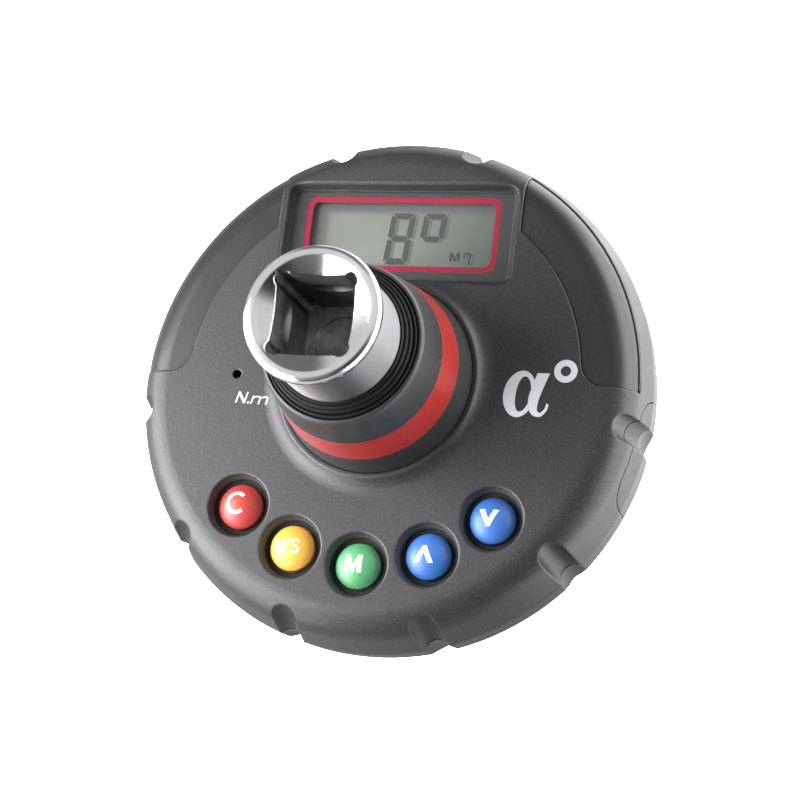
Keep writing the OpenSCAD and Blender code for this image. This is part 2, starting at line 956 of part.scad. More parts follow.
module detent_spring() {
    wire = 0.3;
    start = ball_y + ball_r + 0.05;
    turns = 8;
    step = (spring_end - 0.05 - start - 2 * wire) / turns;
    color("#8c8e92")
        translate([0, start + wire, ball_z])
            rotate([-90, 0, 0])
                rotate_extrude()
                    for (i = [0:turns])
                        translate([1.75, i * step])
                            circle(r = max(wire, step * 0.55), $fn = 24);
}

front_shell();
rear_shell();
hub_collar();
red_band();
front_seal();
drive_shaft();
front_bush();
rear_bush();
rear_seal();
retaining_ring();
shaft_key();
strain_gauges();
gauge_flex();
main_board();
lcd_panel();
lcd_holder();
lcd_connectors();
display_window();
light_window_left();
light_window_right();
warning_leds();
buzzer();
controller_chip();
gyro_sensor();
key_switches();
clear_button();
unit_button();
memory_button();
up_button();
down_button();
battery_bay();
cell_contact();
battery_drawer();
drawer_contact();
battery_cell();
housing_screws();
board_screws();
collar_screws();
detent_ball();
detent_spring();
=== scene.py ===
import math

import bpy
import numpy as np
from mathutils import Matrix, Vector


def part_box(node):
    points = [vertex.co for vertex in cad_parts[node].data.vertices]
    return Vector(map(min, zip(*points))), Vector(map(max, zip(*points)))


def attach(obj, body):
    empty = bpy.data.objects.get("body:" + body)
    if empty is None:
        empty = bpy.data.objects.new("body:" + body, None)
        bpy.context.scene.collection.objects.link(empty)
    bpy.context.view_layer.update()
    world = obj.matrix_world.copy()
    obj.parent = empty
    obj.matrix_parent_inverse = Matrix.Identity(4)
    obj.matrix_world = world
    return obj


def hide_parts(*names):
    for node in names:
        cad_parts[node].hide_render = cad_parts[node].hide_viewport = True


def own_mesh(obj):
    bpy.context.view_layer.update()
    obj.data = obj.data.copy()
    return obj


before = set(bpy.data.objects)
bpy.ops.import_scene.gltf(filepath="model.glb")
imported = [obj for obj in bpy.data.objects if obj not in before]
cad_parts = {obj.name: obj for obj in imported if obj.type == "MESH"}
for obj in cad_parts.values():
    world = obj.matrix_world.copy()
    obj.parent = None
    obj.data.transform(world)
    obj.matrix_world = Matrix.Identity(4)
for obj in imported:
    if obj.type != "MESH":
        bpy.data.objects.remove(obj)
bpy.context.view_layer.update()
mm = 0.001
fullTurn = 2 * math.pi

# camera at the photograph's place: the three directions are the picture's right, up and towards the viewer
cameraSetup = {
    "place": (0.1114, -0.09309, 0.38095),
    "right": (0.9537, 0.1159, -0.2774),
    "up": (-0.0376, 0.9614, 0.2724),
    "back": (0.2983, -0.2494, 0.9213),
    "lens": 96.4,
    "sensor": 36.0,
    "clip": (0.01, 30.0),
}


def addObject(name, data):
    made = bpy.data.objects.new(name, data)
    bpy.context.scene.collection.objects.link(made)
    return made


# place and turn of a camera or a lamp, from its three directions at right angles
def aimed(place, right, up, back):
    return Matrix.Translation(place) @ Matrix((right, up, back)).transposed().to_4x4()


def placeCamera(setup):
    data = bpy.data.cameras.new("photoCamera")
    data.lens = setup["lens"]
    data.sensor_width = setup["sensor"]
    data.sensor_fit = "HORIZONTAL"
    data.clip_start, data.clip_end = setup["clip"]
    camera = addObject("photoCamera", data)
    camera.matrix_world = aimed(setup["place"], setup["right"], setup["up"], setup["back"])
    bpy.context.scene.camera = camera


placeCamera(cameraSetup)
print("camera placed")


# node helpers: put a node with its values, join two sockets, start a group or a material, use a group
def put(tree, kind, values=None, **settings):
    made = tree.nodes.new(kind)
    for key, value in settings.items():
        setattr(made, key, value)
    for key, value in (values or {}).items():
        made.inputs[key].default_value = value
    return made


def join(tree, source, outName, target, inName):
    tree.links.new(source.outputs[outName], target.inputs[inName])


# a group takes a place and named numbers, and gives numbers, or a vector where the output is a normal
def newGroup(name, numbers, outputs):
    tree = bpy.data.node_groups.new(name, "ShaderNodeTree")
    tree.interface.new_socket(name="Vector", in_out="INPUT", socket_type="NodeSocketVector")
    for label, value in numbers.items():
        socket = tree.interface.new_socket(name=label, in_out="INPUT", socket_type="NodeSocketFloat")
        socket.default_value = value
    for label in outputs:
        kind = "NodeSocketVector" if label == "Normal" else "NodeSocketFloat"
        tree.interface.new_socket(name=label, in_out="OUTPUT", socket_type=kind)
    return tree, tree.nodes.new("NodeGroupInput"), tree.nodes.new("NodeGroupOutput")


def newMaterial(name):
    material = bpy.data.materials.new(name)
    material.use_nodes = True
    tree = material.node_tree
    tree.nodes.clear()
    shader = put(tree, "ShaderNodeBsdfPrincipled")
    output = put(tree, "ShaderNodeOutputMaterial")
    join(tree, shader, "BSDF", output, "Surface")
    place = put(tree, "ShaderNodeTexCoord")
    return material, tree, shader, place


def useGroup(tree, group, source, outName="Object", **numbers):
    made = put(tree, "ShaderNodeGroup", numbers, node_tree=group)
    join(tree, source, outName, made, "Vector")
    return made


# number helpers: a range mapped onto another, masks put together, a factor times a number, that plus a base
def spread(tree, source, outName, low, high, toLow=0.0, toHigh=1.0):
    limits = {"From Min": low, "From Max": high, "To Min": toLow, "To Max": toHigh}
    made = put(tree, "ShaderNodeMapRange", limits)
    join(tree, source, outName, made, "Value")
    return made


def combine(tree, operation, masks):
    total = masks[0]
    for mask in masks[1:]:
        both = put(tree, "ShaderNodeMath", operation=operation)
        join(tree, total, 0, both, 0)
        join(tree, mask, 0, both, 1)
        total = both
    return total


def scaled(tree, source, outName, factor):
    made = put(tree, "ShaderNodeMath", {1: factor}, operation="MULTIPLY")
    join(tree, source, outName, made, 0)
    return made


def added(tree, source, outName, factor, base, baseOut=0):
    made = put(tree, "ShaderNodeMath", {1: factor}, operation="MULTIPLY_ADD")
    join(tree, source, outName, made, 0)
    join(tree, base, baseOut, made, 2)
    return made


# a mask that is 1 where all limits hold: each names a coordinate, its value at mask 0 and its value at mask 1
def within(tree, sources, limits):
    return combine(tree, "MULTIPLY", [spread(tree, sources[axis], axis, *span) for axis, *span in limits])


# a colour laid over another by a mask; each is a tone or an earlier blend
def blendColour(tree, mask, outName, lower, upper):
    made = put(tree, "ShaderNodeMix", data_type="RGBA")
    for socket, tone in ((6, lower), (7, upper)):
        if isinstance(tone, tuple):
            made.inputs[socket].default_value = (*tone, 1.0)
        else:
            join(tree, tone, 2, made, socket)
    join(tree, mask, outName, made, 0)
    return made


def addBump(tree, shader, source, outName, strength, depth, lower=None):
    bump = put(tree, "ShaderNodeBump", {"Strength": strength, "Distance": depth})
    join(tree, source, outName, bump, "Height")
    if lower:
        join(tree, lower, "Normal", bump, "Normal")
    join(tree, bump, "Normal", shader, "Normal")
    return bump


# moulded grain: fine noise and small pits for height, slow noise for mottle, tips of the noise for flecks
grainShape = {
    "scale": 2400.0, "pitScale": 0.62, "slowScale": 0.02, "pitHeight": 0.55,
    "mottle": (0.32, 0.68), "fleck": (0.52, 0.68),
}


def buildMouldGrain(shape):
    tree, start, end = newGroup("mouldGrain", {"Scale": shape["scale"]}, ("Height", "Mottle", "Fleck"))
    fine = put(tree, "ShaderNodeTexNoise", {"Detail": 3.0, "Roughness": 0.6})
    pits = put(tree, "ShaderNodeTexVoronoi")
    slow = put(tree, "ShaderNodeTexNoise", {"Detail": 4.0, "Roughness": 0.65})
    for target in (fine, pits, slow):
        join(tree, start, "Vector", target, "Vector")
    join(tree, start, "Scale", fine, "Scale")
    join(tree, scaled(tree, start, "Scale", shape["pitScale"]), 0, pits, "Scale")
    join(tree, scaled(tree, start, "Scale", shape["slowScale"]), 0, slow, "Scale")
    join(tree, added(tree, pits, "Distance", shape["pitHeight"], fine, "Fac"), 0, end, "Height")
    join(tree, spread(tree, slow, "Fac", *shape["mottle"]), 0, end, "Mottle")
    join(tree, spread(tree, fine, "Fac", *shape["fleck"]), 0, end, "Fleck")
    return tree


# edge wear and highlight: how far the rounded-off normal leans from the true one, broken up by noise; gives
# that normal too
edgeMaskShape = {
    "radius": 0.0004, "samples": 6, "lean": (0.995, 0.88), "wornScale": 700.0, "worn": (0.3, 0.6, 0.35, 1.0),
}


def buildEdgeWearAndHighlight(shape):
    tree, start, end = newGroup("edgeWearAndHighlight", {"Radius": shape["radius"]}, ("Edge", "Normal"))
    rounded = put(tree, "ShaderNodeBevel", samples=shape["samples"])
    join(tree, start, "Radius", rounded, "Radius")
    true = put(tree, "ShaderNodeNewGeometry")
    lean = put(tree, "ShaderNodeVectorMath", operation="DOT_PRODUCT")
    join(tree, rounded, "Normal", lean, 0)
    join(tree, true, "Normal", lean, 1)
    worn = put(tree, "ShaderNodeTexNoise", {"Scale": shape["wornScale"], "Detail": 3.0})
    join(tree, start, "Vector", worn, "Vector")
    masks = [spread(tree, lean, "Value", *shape["lean"]), spread(tree, worn, "Fac", *shape["worn"])]
    join(tree, combine(tree, "MULTIPLY", masks), 0, end, "Edge")
    join(tree, rounded, "Normal", end, "Normal")
    return tree


# hand smudge: slow warped noise, for roughness that changes from place to place
smudgeShape = {"scale": 60.0, "span": (0.35, 0.68)}


def buildHandSmudge(shape):
    tree, start, end = newGroup("handSmudge", {"Scale": shape["scale"]}, ("Smudge",))
    cloud = put(tree, "ShaderNodeTexNoise", {"Detail": 5.0, "Roughness": 0.6, "Distortion": 0.6})
    join(tree, start, "Vector", cloud, "Vector")
    join(tree, start, "Scale", cloud, "Scale")
    join(tree, spread(tree, cloud, "Fac", *shape["span"]), 0, end, "Smudge")
    return tree


# axis place: distance from the drive axis and height along it
def buildAxisPlace():
    tree, start, end = newGroup("axisPlace", {}, ("Reach", "Rise"))
    parts = put(tree, "ShaderNodeSeparateXYZ")
    join(tree, start, "Vector", parts, 0)
    flat = put(tree, "ShaderNodeCombineXYZ")
    join(tree, parts, "X", flat, "X")
    join(tree, parts, "Y", flat, "Y")
    reach = put(tree, "ShaderNodeVectorMath", operation="LENGTH")
    join(tree, flat, 0, reach, 0)
    join(tree, reach, "Value", end, "Reach")
    join(tree, parts, "Z", end, "Rise")
    return tree


# turned lines: noise over (distance from the drive axis, height), so it runs round the axis like lathe marks
turnedShape = {"scale": 6000.0, "slowScale": 0.06, "ring": (0.35, 0.65)}


def buildTurnedLines(shape):
    tree, start, end = newGroup("turnedLines", {"Scale": shape["scale"]}, ("Height", "Ring"))
    about = useGroup(tree, axisPlace, start, "Vector")
    pair = put(tree, "ShaderNodeCombineXYZ")
    join(tree, about, "Reach", pair, "X")
    join(tree, about, "Rise", pair, "Y")
    lines = put(tree, "ShaderNodeTexNoise", {"Detail": 2.0}, noise_dimensions="2D")
    slow = put(tree, "ShaderNodeTexNoise", {"Detail": 1.0}, noise_dimensions="2D")
    for target in (lines, slow):
        join(tree, pair, 0, target, "Vector")
    join(tree, start, "Scale", lines, "Scale")
    join(tree, scaled(tree, start, "Scale", shape["slowScale"]), 0, slow, "Scale")
    join(tree, lines, "Fac", end, "Height")
    join(tree, spread(tree, slow, "Fac", *shape["ring"]), 0, end, "Ring")
    return tree


# painted well shading: the key wells, a stretch of the ring they stand on that lies under the face on the near
# side, whose walls get painted light; their foot, painted near black as shade; and the display pocket, a box
# under the face on the far side, painted near black as shade
wellRing = [("Reach", 0.0262, 0.0264), ("Reach", 0.0378, 0.0376), ("Y", -0.0150, -0.0155)]
wellShape = {
    "Mask": [("Rise", 0.0499, 0.0486)] + wellRing,
    "Foot": [("Rise", 0.0486, 0.0480)] + wellRing,
    "Pocket": [("Rise", 0.0498, 0.0494), ("Y", 0.0140, 0.0142), ("X", -0.0240, -0.0238), ("X", 0.0240, 0.0238),
               ("Rise", 0.0440, 0.0442), ("Reach", 0.0412, 0.0408)],
}


def buildPaintedWellShading(shape):
    tree, start, end = newGroup("paintedWellShading", {}, tuple(shape))
    about = useGroup(tree, axisPlace, start, "Vector")
    parts = put(tree, "ShaderNodeSeparateXYZ")
    join(tree, start, "Vector", parts, 0)
    sources = {"Reach": about, "Rise": about, "X": parts, "Y": parts}
    for outName, limits in shape.items():
        join(tree, within(tree, sources, limits), 0, end, outName)
    return tree


mouldGrain = buildMouldGrain(grainShape)
edgeWearAndHighlight = buildEdgeWearAndHighlight(edgeMaskShape)
handSmudge = buildHandSmudge(smudgeShape)
axisPlace = buildAxisPlace()
turnedLines = buildTurnedLines(turnedShape)
paintedWellShading = buildPaintedWellShading(wellShape)
print("shared effects built")


# roughness between a look's two values, by the smudges
def smudged(tree, place, look):
    smudge = useGroup(tree, handSmudge, place, Scale=look["smudge"])
    return spread(tree, smudge, "Smudge", 0.0, 1.0, *look["rough"])


# moulded or printed plastic and rubber: mottled colour, light flecks, edges lightened for wear and as painted
# highlight, grain in the bump
def plasticFinish(name, look):
    material, tree, shader, place = newMaterial(name)
    grain = useGroup(tree, mouldGrain, place, Scale=look["grain"])
    wearAndHighlight = useGroup(tree, edgeWearAndHighlight, place, Radius=look["edge"])
    colour = blendColour(tree, grain, "Mottle", look["dark"], look["light"])
    colour = blendColour(tree, scaled(tree, grain, "Fleck", look["fleck"]), 0, colour, look["tip"])
    # edges lightened: wear, and a painted highlight along them
    colour = blendColour(tree, scaled(tree, wearAndHighlight, "Edge", look["wearAndHighlight"]), 0, colour, look["tip"])
    rough = smudged(tree, place, look)
    if "shine" in look:
        rough = added(tree, wearAndHighlight, "Edge", -look["shine"], rough)
    # painted light on the well walls, painted shade on the well floors and in the display pocket
    if "wells" in look:
        well = useGroup(tree, paintedWellShading, place)
        for outName, tone in look["wells"].items():
            colour = blendColour(tree, well, outName, colour, tone)
        for outName in look["mattWells"]:
            rough = added(tree, well, outName, look["matt"], rough)
    join(tree, colour, 2, shader, "Base Color")
    join(tree, rough, 0, shader, "Roughness")
    addBump(tree, shader, grain, "Height", look["bump"], look["depth"], wearAndHighlight)
    shader.inputs["Specular IOR Level"].default_value = look.get("specular", 0.5)
    shader.inputs["Coat Weight"].default_value = look.get("coat", 0.0)
    shader.inputs["Coat Roughness"].default_value = look.get("coatRough", 0.08)
    return material


# turned or ground metal: colour follows the lathe lines, roughness the smudges, and edges are brighter, for
# wear and as painted highlight
def metalFinish(name, look):
    material, tree, shader, place = newMaterial(name)
    lines = useGroup(tree, turnedLines, place, Scale=look["lines"])
    wearAndHighlight = useGroup(tree, edgeWearAndHighlight, place, Radius=look["edge"])
    colour = blendColour(tree, lines, "Ring", look["dark"], look["light"])
    # edges lightened: wear, and a painted highlight along them
    colour = blendColour(tree, scaled(tree, wearAndHighlight, "Edge", look["wearAndHighlight"]), 0, colour, look["tip"])
    join(tree, colour, 2, shader, "Base Color")
    join(tree, smudged(tree, place, look), 0, shader, "Roughness")
    addBump(tree, shader, lines, "Height", look["bump"], look["depth"], wearAndHighlight)
    shader.inputs["Metallic"].default_value = 1.0
    return material


shellLook = {
    "dark": (0.020, 0.020, 0.022), "light": (0.024, 0.024, 0.0265), "tip": (0.10, 0.10, 0.105),
    "grain": 3000.0, "fleck": 0.32, "edge": 0.0005, "wearAndHighlight": 0.40, "smudge": 55.0, "shine": 0.24,
    "rough": (0.40, 0.48), "bump": 0.50, "depth": 0.00004,
    # well tones are painted light and shade: lighter well walls, near-black well floors and pocket
    "wells": {"Mask": (0.085, 0.085, 0.089), "Foot": (0.004, 0.004, 0.0045), "Pocket": (0.004, 0.004, 0.0045)},
    "mattWells": ("Foot", "Pocket"), "matt": 0.35,
}
trimLook = {
    "dark": (0.020, 0.020, 0.022), "light": (0.026, 0.026, 0.028), "tip": (0.08, 0.08, 0.085),
    "grain": 2400.0, "fleck": 0.1, "edge": 0.0001, "wearAndHighlight": 0.1, "smudge": 90.0,
    "rough": (0.16, 0.24), "bump": 0.05, "depth": 0.00001, "coat": 0.3,
}
collarLook = {
    "dark": (0.024, 0.024, 0.0255), "light": (0.030, 0.030, 0.032), "tip": (0.10, 0.10, 0.105),
    "grain": 3600.0, "fleck": 0.12, "edge": 0.0004, "wearAndHighlight": 0.35, "smudge": 80.0,
    "rough": (0.34, 0.44), "bump": 0.18, "depth": 0.00002,
}
bandLook = {
    "dark": (0.31, 0.016, 0.013), "light": (0.36, 0.022, 0.018), "tip": (0.60, 0.10, 0.08),
    "grain": 3000.0, "fleck": 0.10, "edge": 0.0002, "wearAndHighlight": 0.3, "smudge": 90.0,
    "rough": (0.29, 0.36), "bump": 0.08, "depth": 0.00001, "coat": 0.5, "coatRough": 0.22,
}
lampLook = {
    "dark": (0.012, 0.012, 0.0135), "light": (0.016, 0.016, 0.0175), "tip": (0.12, 0.12, 0.13),
    "grain": 1400.0, "fleck": 0.05, "edge": 0.0003, "wearAndHighlight": 0.45, "smudge": 50.0,
    "rough": (0.34, 0.40), "bump": 0.05, "depth": 0.00001, "coat": 0.05,
}
innerLook = {
    "dark": (0.018, 0.018, 0.020), "light": (0.030, 0.030, 0.032), "tip": (0.10, 0.10, 0.10),
    "grain": 1800.0, "fleck": 0.2, "edge": 0.0003, "wearAndHighlight": 0.3, "smudge": 70.0,
    "rough": (0.45, 0.6), "bump": 0.3, "depth": 0.00003,
}
ledLook = {
    "dark": (0.70, 0.62, 0.40), "light": (0.82, 0.76, 0.58), "tip": (0.95, 0.93, 0.85),
    "grain": 1500.0, "fleck": 0.2, "edge": 0.0003, "wearAndHighlight": 0.4, "smudge": 200.0,
    "rough": (0.29, 0.40), "bump": 0.1, "depth": 0.00002,
}
legendLook = {
    "dark": (0.78, 0.78, 0.80), "light": (0.86, 0.86, 0.88), "tip": (0.92, 0.92, 0.92),
    "grain": 4200.0, "fleck": 0.25, "edge": 0.00005, "wearAndHighlight": 0.1, "smudge": 120.0,
    "rough": (0.40, 0.52), "bump": 0.08, "depth": 0.00001,
}
printLook = {
    "dark": (0.63, 0.65, 0.69), "light": (0.71, 0.73, 0.77), "tip": (0.80, 0.81, 0.84),
    "grain": 2600.0, "fleck": 0.5, "edge": 0.00005, "wearAndHighlight": 0.1, "smudge": 120.0,
    "rough": (0.45, 0.58), "bump": 0.3, "depth": 0.00003,
}
unitLook = {
    **printLook, "dark": (0.40, 0.42, 0.46), "light": (0.46, 0.48, 0.52), "tip": (0.60, 0.61, 0.64),
}
borderLook = {
    "dark": (0.046, 0.046, 0.050), "light": (0.054, 0.054, 0.058), "tip": (0.06, 0.06, 0.065),
    "grain": 2200.0, "fleck": 0.1, "edge": 0.0001, "wearAndHighlight": 0.1, "smudge": 90.0,
    "rough": (0.30, 0.42), "bump": 0.05, "depth": 0.00001, "specular": 0.1,
}
lineLook = {
    **borderLook, "dark": (0.27, 0.012, 0.034), "light": (0.30, 0.015, 0.039), "tip": (0.30, 0.03, 0.04),
    "grain": 2600.0,
}
digitLook = {
    "dark": (0.052, 0.060, 0.053), "light": (0.060, 0.068, 0.061), "tip": (0.06, 0.065, 0.06),
    "grain": 2600.0, "fleck": 0.1, "edge": 0.00003, "wearAndHighlight": 0.1, "smudge": 120.0,
    "rough": (0.35, 0.45), "bump": 0.03, "depth": 0.00001, "specular": 0.1,
}
# painted shadow of the digits on the reflector under them
paintedDigitShadowLook = {
    **digitLook, "dark": (0.100, 0.114, 0.100), "light": (0.108, 0.122, 0.108), "tip": (0.115, 0.128, 0.115),
}


def keyLook(dark, light, tip):
    return {
        "dark": dark, "light": light, "tip": tip, "grain": 4200.0, "fleck": 0.10, "edge": 0.0003, "wearAndHighlight": 0.25,
        "smudge": 160.0, "rough": (0.40, 0.50), "bump": 0.10, "depth": 0.00002, "coat": 0.05, "coatRough": 0.3,
    }


keyRedLook = keyLook((0.40, 0.038, 0.032), (0.46, 0.048, 0.040), (0.70, 0.25, 0.22))
keyYellowLook = keyLook((0.76, 0.39, 0.050), (0.82, 0.44, 0.065), (0.92, 0.62, 0.25))
keyGreenLook = keyLook((0.070, 0.29, 0.125), (0.082, 0.33, 0.145), (0.25, 0.55, 0.32))
keyBlueLook = keyLook((0.030, 0.125, 0.42), (0.037, 0.145, 0.47), (0.20, 0.38, 0.70))

steelLook = {
    "dark": (0.42, 0.42, 0.44), "light": (0.56, 0.56, 0.58), "tip": (0.75, 0.75, 0.76), "lines": 5000.0,
    "edge": 0.0003, "wearAndHighlight": 0.5, "smudge": 120.0, "rough": (0.28, 0.42), "bump": 0.15, "depth": 0.00002,
}
bronzeLook = {
    "dark": (0.40, 0.24, 0.10), "light": (0.52, 0.33, 0.15), "tip": (0.70, 0.50, 0.28), "lines": 4000.0,
    "edge": 0.0003, "wearAndHighlight": 0.4, "smudge": 100.0, "rough": (0.30, 0.45), "bump": 0.2, "depth": 0.00002,
}
contactLook = {
    "dark": (0.58, 0.46, 0.24), "light": (0.72, 0.60, 0.36), "tip": (0.85, 0.76, 0.55), "lines": 3000.0,
    "edge": 0.0003, "wearAndHighlight": 0.5, "smudge": 150.0, "rough": (0.29, 0.38), "bump": 0.1, "depth": 0.00001,
}

# chromed drive: polished plating, a bore (inside a reach and between two heights) darkened with a mottle, stain
# and painted shade together, and a satin turned wall on the head, its plating painted darker as shade, whose
# reflections stretch along the axis
chromeLook = {
    "dark": (0.78, 0.78, 0.80), "light": (0.86, 0.86, 0.88), "paintedWallShade": (0.28, 0.28, 0.29),
    "stainAndShade": (0.22, 0.22, 0.225), "worn": (0.33, 0.33, 0.335), "stainScale": 420.0, "stainSpan": (0.42, 0.66),
    "lines": 9000.0, "edge": 0.0004, "smudge": 90.0, "rough": (0.14, 0.20),
    "boreRough": 0.20, "wallRough": 0.30, "bump": 0.25, "depth": 0.000004, "stretch": 0.85, "stretchTurn": 0.25,
    "bore": [("Reach", 0.00955, 0.00945), ("Rise", 0.0848, 0.0847), ("Rise", 0.0660, 0.0661)],
    "wall": [("Reach", 0.0101, 0.0103), ("Rise", 0.0845, 0.0842)],
}


def chromeFinish(name, look):
    material, tree, shader, place = newMaterial(name)
    about = useGroup(tree, axisPlace, place)
    bore, wall = (within(tree, {"Reach": about, "Rise": about}, look[part]) for part in ("bore", "wall"))
    lines = useGroup(tree, turnedLines, place, Scale=look["lines"])
    cloud = put(tree, "ShaderNodeTexNoise", {"Scale": look["stainScale"], "Detail": 5.0, "Roughness": 0.65})
    join(tree, place, "Object", cloud, "Vector")
    plated = blendColour(tree, lines, "Ring", look["dark"], look["light"])
    # bore tone: a stain mottle that is also painted shade
    stainedAndShaded = blendColour(tree, spread(tree, cloud, "Fac", *look["stainSpan"]), 0, look["stainAndShade"], look["worn"])
    colour = blendColour(tree, bore, 0, plated, stainedAndShaded)
    # the shank wall's plating painted darker as shade
    colour = blendColour(tree, wall, 0, colour, look["paintedWallShade"])
    join(tree, colour, 2, shader, "Base Color")
    rough = added(tree, bore, 0, look["boreRough"], smudged(tree, place, look))
    rough = added(tree, wall, 0, look["wallRough"], rough)
    join(tree, rough, 0, shader, "Roughness")
    wearAndHighlight = useGroup(tree, edgeWearAndHighlight, place, Radius=look["edge"])
    addBump(tree, shader, lines, "Height", look["bump"], look["depth"], wearAndHighlight)
    around = put(tree, "ShaderNodeTangent", direction_type="RADIAL", axis="Z")
    join(tree, around, "Tangent", shader, "Tangent")
    shader.inputs["Anisotropic"].default_value = look["stretch"]
    shader.inputs["Anisotropic Rotation"].default_value = look["stretchTurn"]
    shader.inputs["Metallic"].default_value = 1.0
    return material


# ribbed rubber: a sine of the distance from the drive axis makes the ribs, grain roughens them
sealLook = {
    "dark": (0.005, 0.005, 0.006), "light": (0.010, 0.010, 0.011), "rib": 0.00125, "ribBump": 0.8,
    "ribDepth": 0.00007, "grain": 3000.0, "rough": (0.45, 0.62), "bump": 0.2, "depth": 0.00002,
    "specular": 0.15,
}


def rubberFinish(name, look):
    material, tree, shader, place = newMaterial(name)
    grain = useGroup(tree, mouldGrain, place, Scale=look["grain"])
    about = useGroup(tree, axisPlace, place)
    wave = put(tree, "ShaderNodeMath", operation="SINE")
    join(tree, scaled(tree, about, "Reach", fullTurn / look["rib"]), 0, wave, 0)
    crest = spread(tree, wave, 0, -1.0, 1.0)
    join(tree, blendColour(tree, crest, 0, look["dark"], look["light"]), 2, shader, "Base Color")
    join(tree, spread(tree, grain, "Mottle", 0.0, 1.0, *look["rough"]), 0, shader, "Roughness")
    ribs = addBump(tree, shader, crest, 0, look["ribBump"], look["ribDepth"])
    addBump(tree, shader, grain, "Height", look["bump"], look["depth"], ribs)
    shader.inputs["Specular IOR Level"].default_value = look["specular"]
    return material


# liquid crystal glass: grey-green, painted darker to the right as shade, a painted soft shadow of the frame
# along its left and top, faint fibres
panelLook = {
    "dark": (0.140, 0.156, 0.138), "light": (0.168, 0.184, 0.164), "far": (0.094, 0.110, 0.096),
    "shade": (0.086, 0.086, 0.088), "rightShadeSpan": (-0.004, 0.0165), "leftEdge": (-0.0130, -0.0146),
    "topEdge": (0.0302, 0.0318), "fibre": (900.0, 2600.0, 900.0), "fibreShare": 0.45, "toneSpan": (0.45, 0.95),
    "cloudScale": 70.0, "rough": (0.3, 0.7, 0.30, 0.42), "bump": 0.1, "depth": 0.00001,
}


def panelFinish(name, look):
    material, tree, shader, place = newMaterial(name)
    fibre = put(tree, "ShaderNodeMapping", {"Scale": look["fibre"]})
    join(tree, place, "Object", fibre, "Vector")
    weave = put(tree, "ShaderNodeTexNoise", {"Scale": 1.0, "Detail": 3.0})
    join(tree, fibre, "Vector", weave, "Vector")
    cloud = put(tree, "ShaderNodeTexNoise", {"Scale": look["cloudScale"], "Detail": 2.0})
    join(tree, place, "Object", cloud, "Vector")
    tone = spread(tree, added(tree, weave, "Fac", look["fibreShare"], cloud, "Fac"), 0, *look["toneSpan"])
    parts = put(tree, "ShaderNodeSeparateXYZ")
    join(tree, place, "Object", parts, 0)
    edges = [spread(tree, parts, "X", *look["leftEdge"]), spread(tree, parts, "Y", *look["topEdge"])]
    for edge in edges:
        edge.interpolation_type = "SMOOTHSTEP"
    colour = blendColour(tree, tone, 0, look["dark"], look["light"])
    # painted shade: darker towards the right, then the painted shadow of the frame along the left and top edges
    colour = blendColour(tree, spread(tree, parts, "X", *look["rightShadeSpan"]), 0, colour, look["far"])
    colour = blendColour(tree, combine(tree, "MAXIMUM", edges), 0, colour, look["shade"])
    join(tree, colour, 2, shader, "Base Color")
    join(tree, spread(tree, cloud, "Fac", *look["rough"]), 0, shader, "Roughness")
    addBump(tree, shader, weave, "Fac", look["bump"], look["depth"])
    return material


# clear plate: fully transmissive, faint smudges in tint and roughness; lamp and scattered light pass through
clearLook = {
    "tint": (0.96, 0.97, 0.96), "clean": (1.0, 1.0, 1.0), "rough": (0.0, 0.004), "smudge": 70.0, "bend": 1.28,
}


def clearFinish(name, look):
    material, tree, shader, place = newMaterial(name)
    smudge = useGroup(tree, handSmudge, place, Scale=look["smudge"])
    join(tree, blendColour(tree, smudge, "Smudge", look["clean"], look["tint"]), 2, shader, "Base Color")
    join(tree, spread(tree, smudge, "Smudge", 0.0, 1.0, *look["rough"]), 0, shader, "Roughness")
    shader.inputs["Transmission Weight"].default_value = 1.0
    shader.inputs["IOR"].default_value = look["bend"]
    output = next(node for node in tree.nodes if node.type == "OUTPUT_MATERIAL")
    through = put(tree, "ShaderNodeBsdfTransparent")
    path = put(tree, "ShaderNodeLightPath")
    straight = put(tree, "ShaderNodeMath", operation="MAXIMUM")
    join(tree, path, "Is Shadow Ray", straight, 0)
    join(tree, path, "Is Diffuse Ray", straight, 1)
    either = put(tree, "ShaderNodeMixShader")
    join(tree, straight, 0, either, 0)
    join(tree, shader, "BSDF", either, 1)
    join(tree, through, "BSDF", either, 2)
    join(tree, either, 0, output, "Surface")
    return material


# circuit board: solder mask with paler tracks from a brick pattern and bright pads from a voronoi
boardLook = {
    "mask": (0.012, 0.085, 0.035), "maskShade": 0.85, "track": (0.030, 0.16, 0.070), "pad": (0.62, 0.55, 0.36),
    "pitch": 330.0, "trackWidth": 0.06, "rowHeight": 0.5, "padScale": 420.0, "padScatter": 0.7,
    "padSpan": (0.20, 0.16), "rough": (0.32, 0.22), "bump": 0.4, "depth": 0.00003,
}


def boardFinish(name, look):
    material, tree, shader, place = newMaterial(name)
    tracks = put(tree, "ShaderNodeTexBrick", {
        "Scale": look["pitch"], "Mortar Size": look["trackWidth"], "Row Height": look["rowHeight"],
        "Color1": (*look["mask"], 1.0), "Color2": (*(look["maskShade"] * c for c in look["mask"]), 1.0),
        "Mortar": (*look["track"], 1.0),
    })
    join(tree, place, "Object", tracks, "Vector")
    dots = put(tree, "ShaderNodeTexVoronoi", {"Scale": look["padScale"], "Randomness": look["padScatter"]})
    join(tree, place, "Object", dots, "Vector")
    pads = spread(tree, dots, "Distance", *look["padSpan"])
    colour = blendColour(tree, pads, 0, look["mask"], look["pad"])
    join(tree, tracks, "Color", colour, 6)
    join(tree, colour, 2, shader, "Base Color")
    join(tree, spread(tree, pads, 0, 0.0, 1.0, *look["rough"]), 0, shader, "Roughness")
    join(tree, pads, 0, shader, "Metallic")
    addBump(tree, shader, tracks, "Fac", look["bump"], look["depth"])
    return material


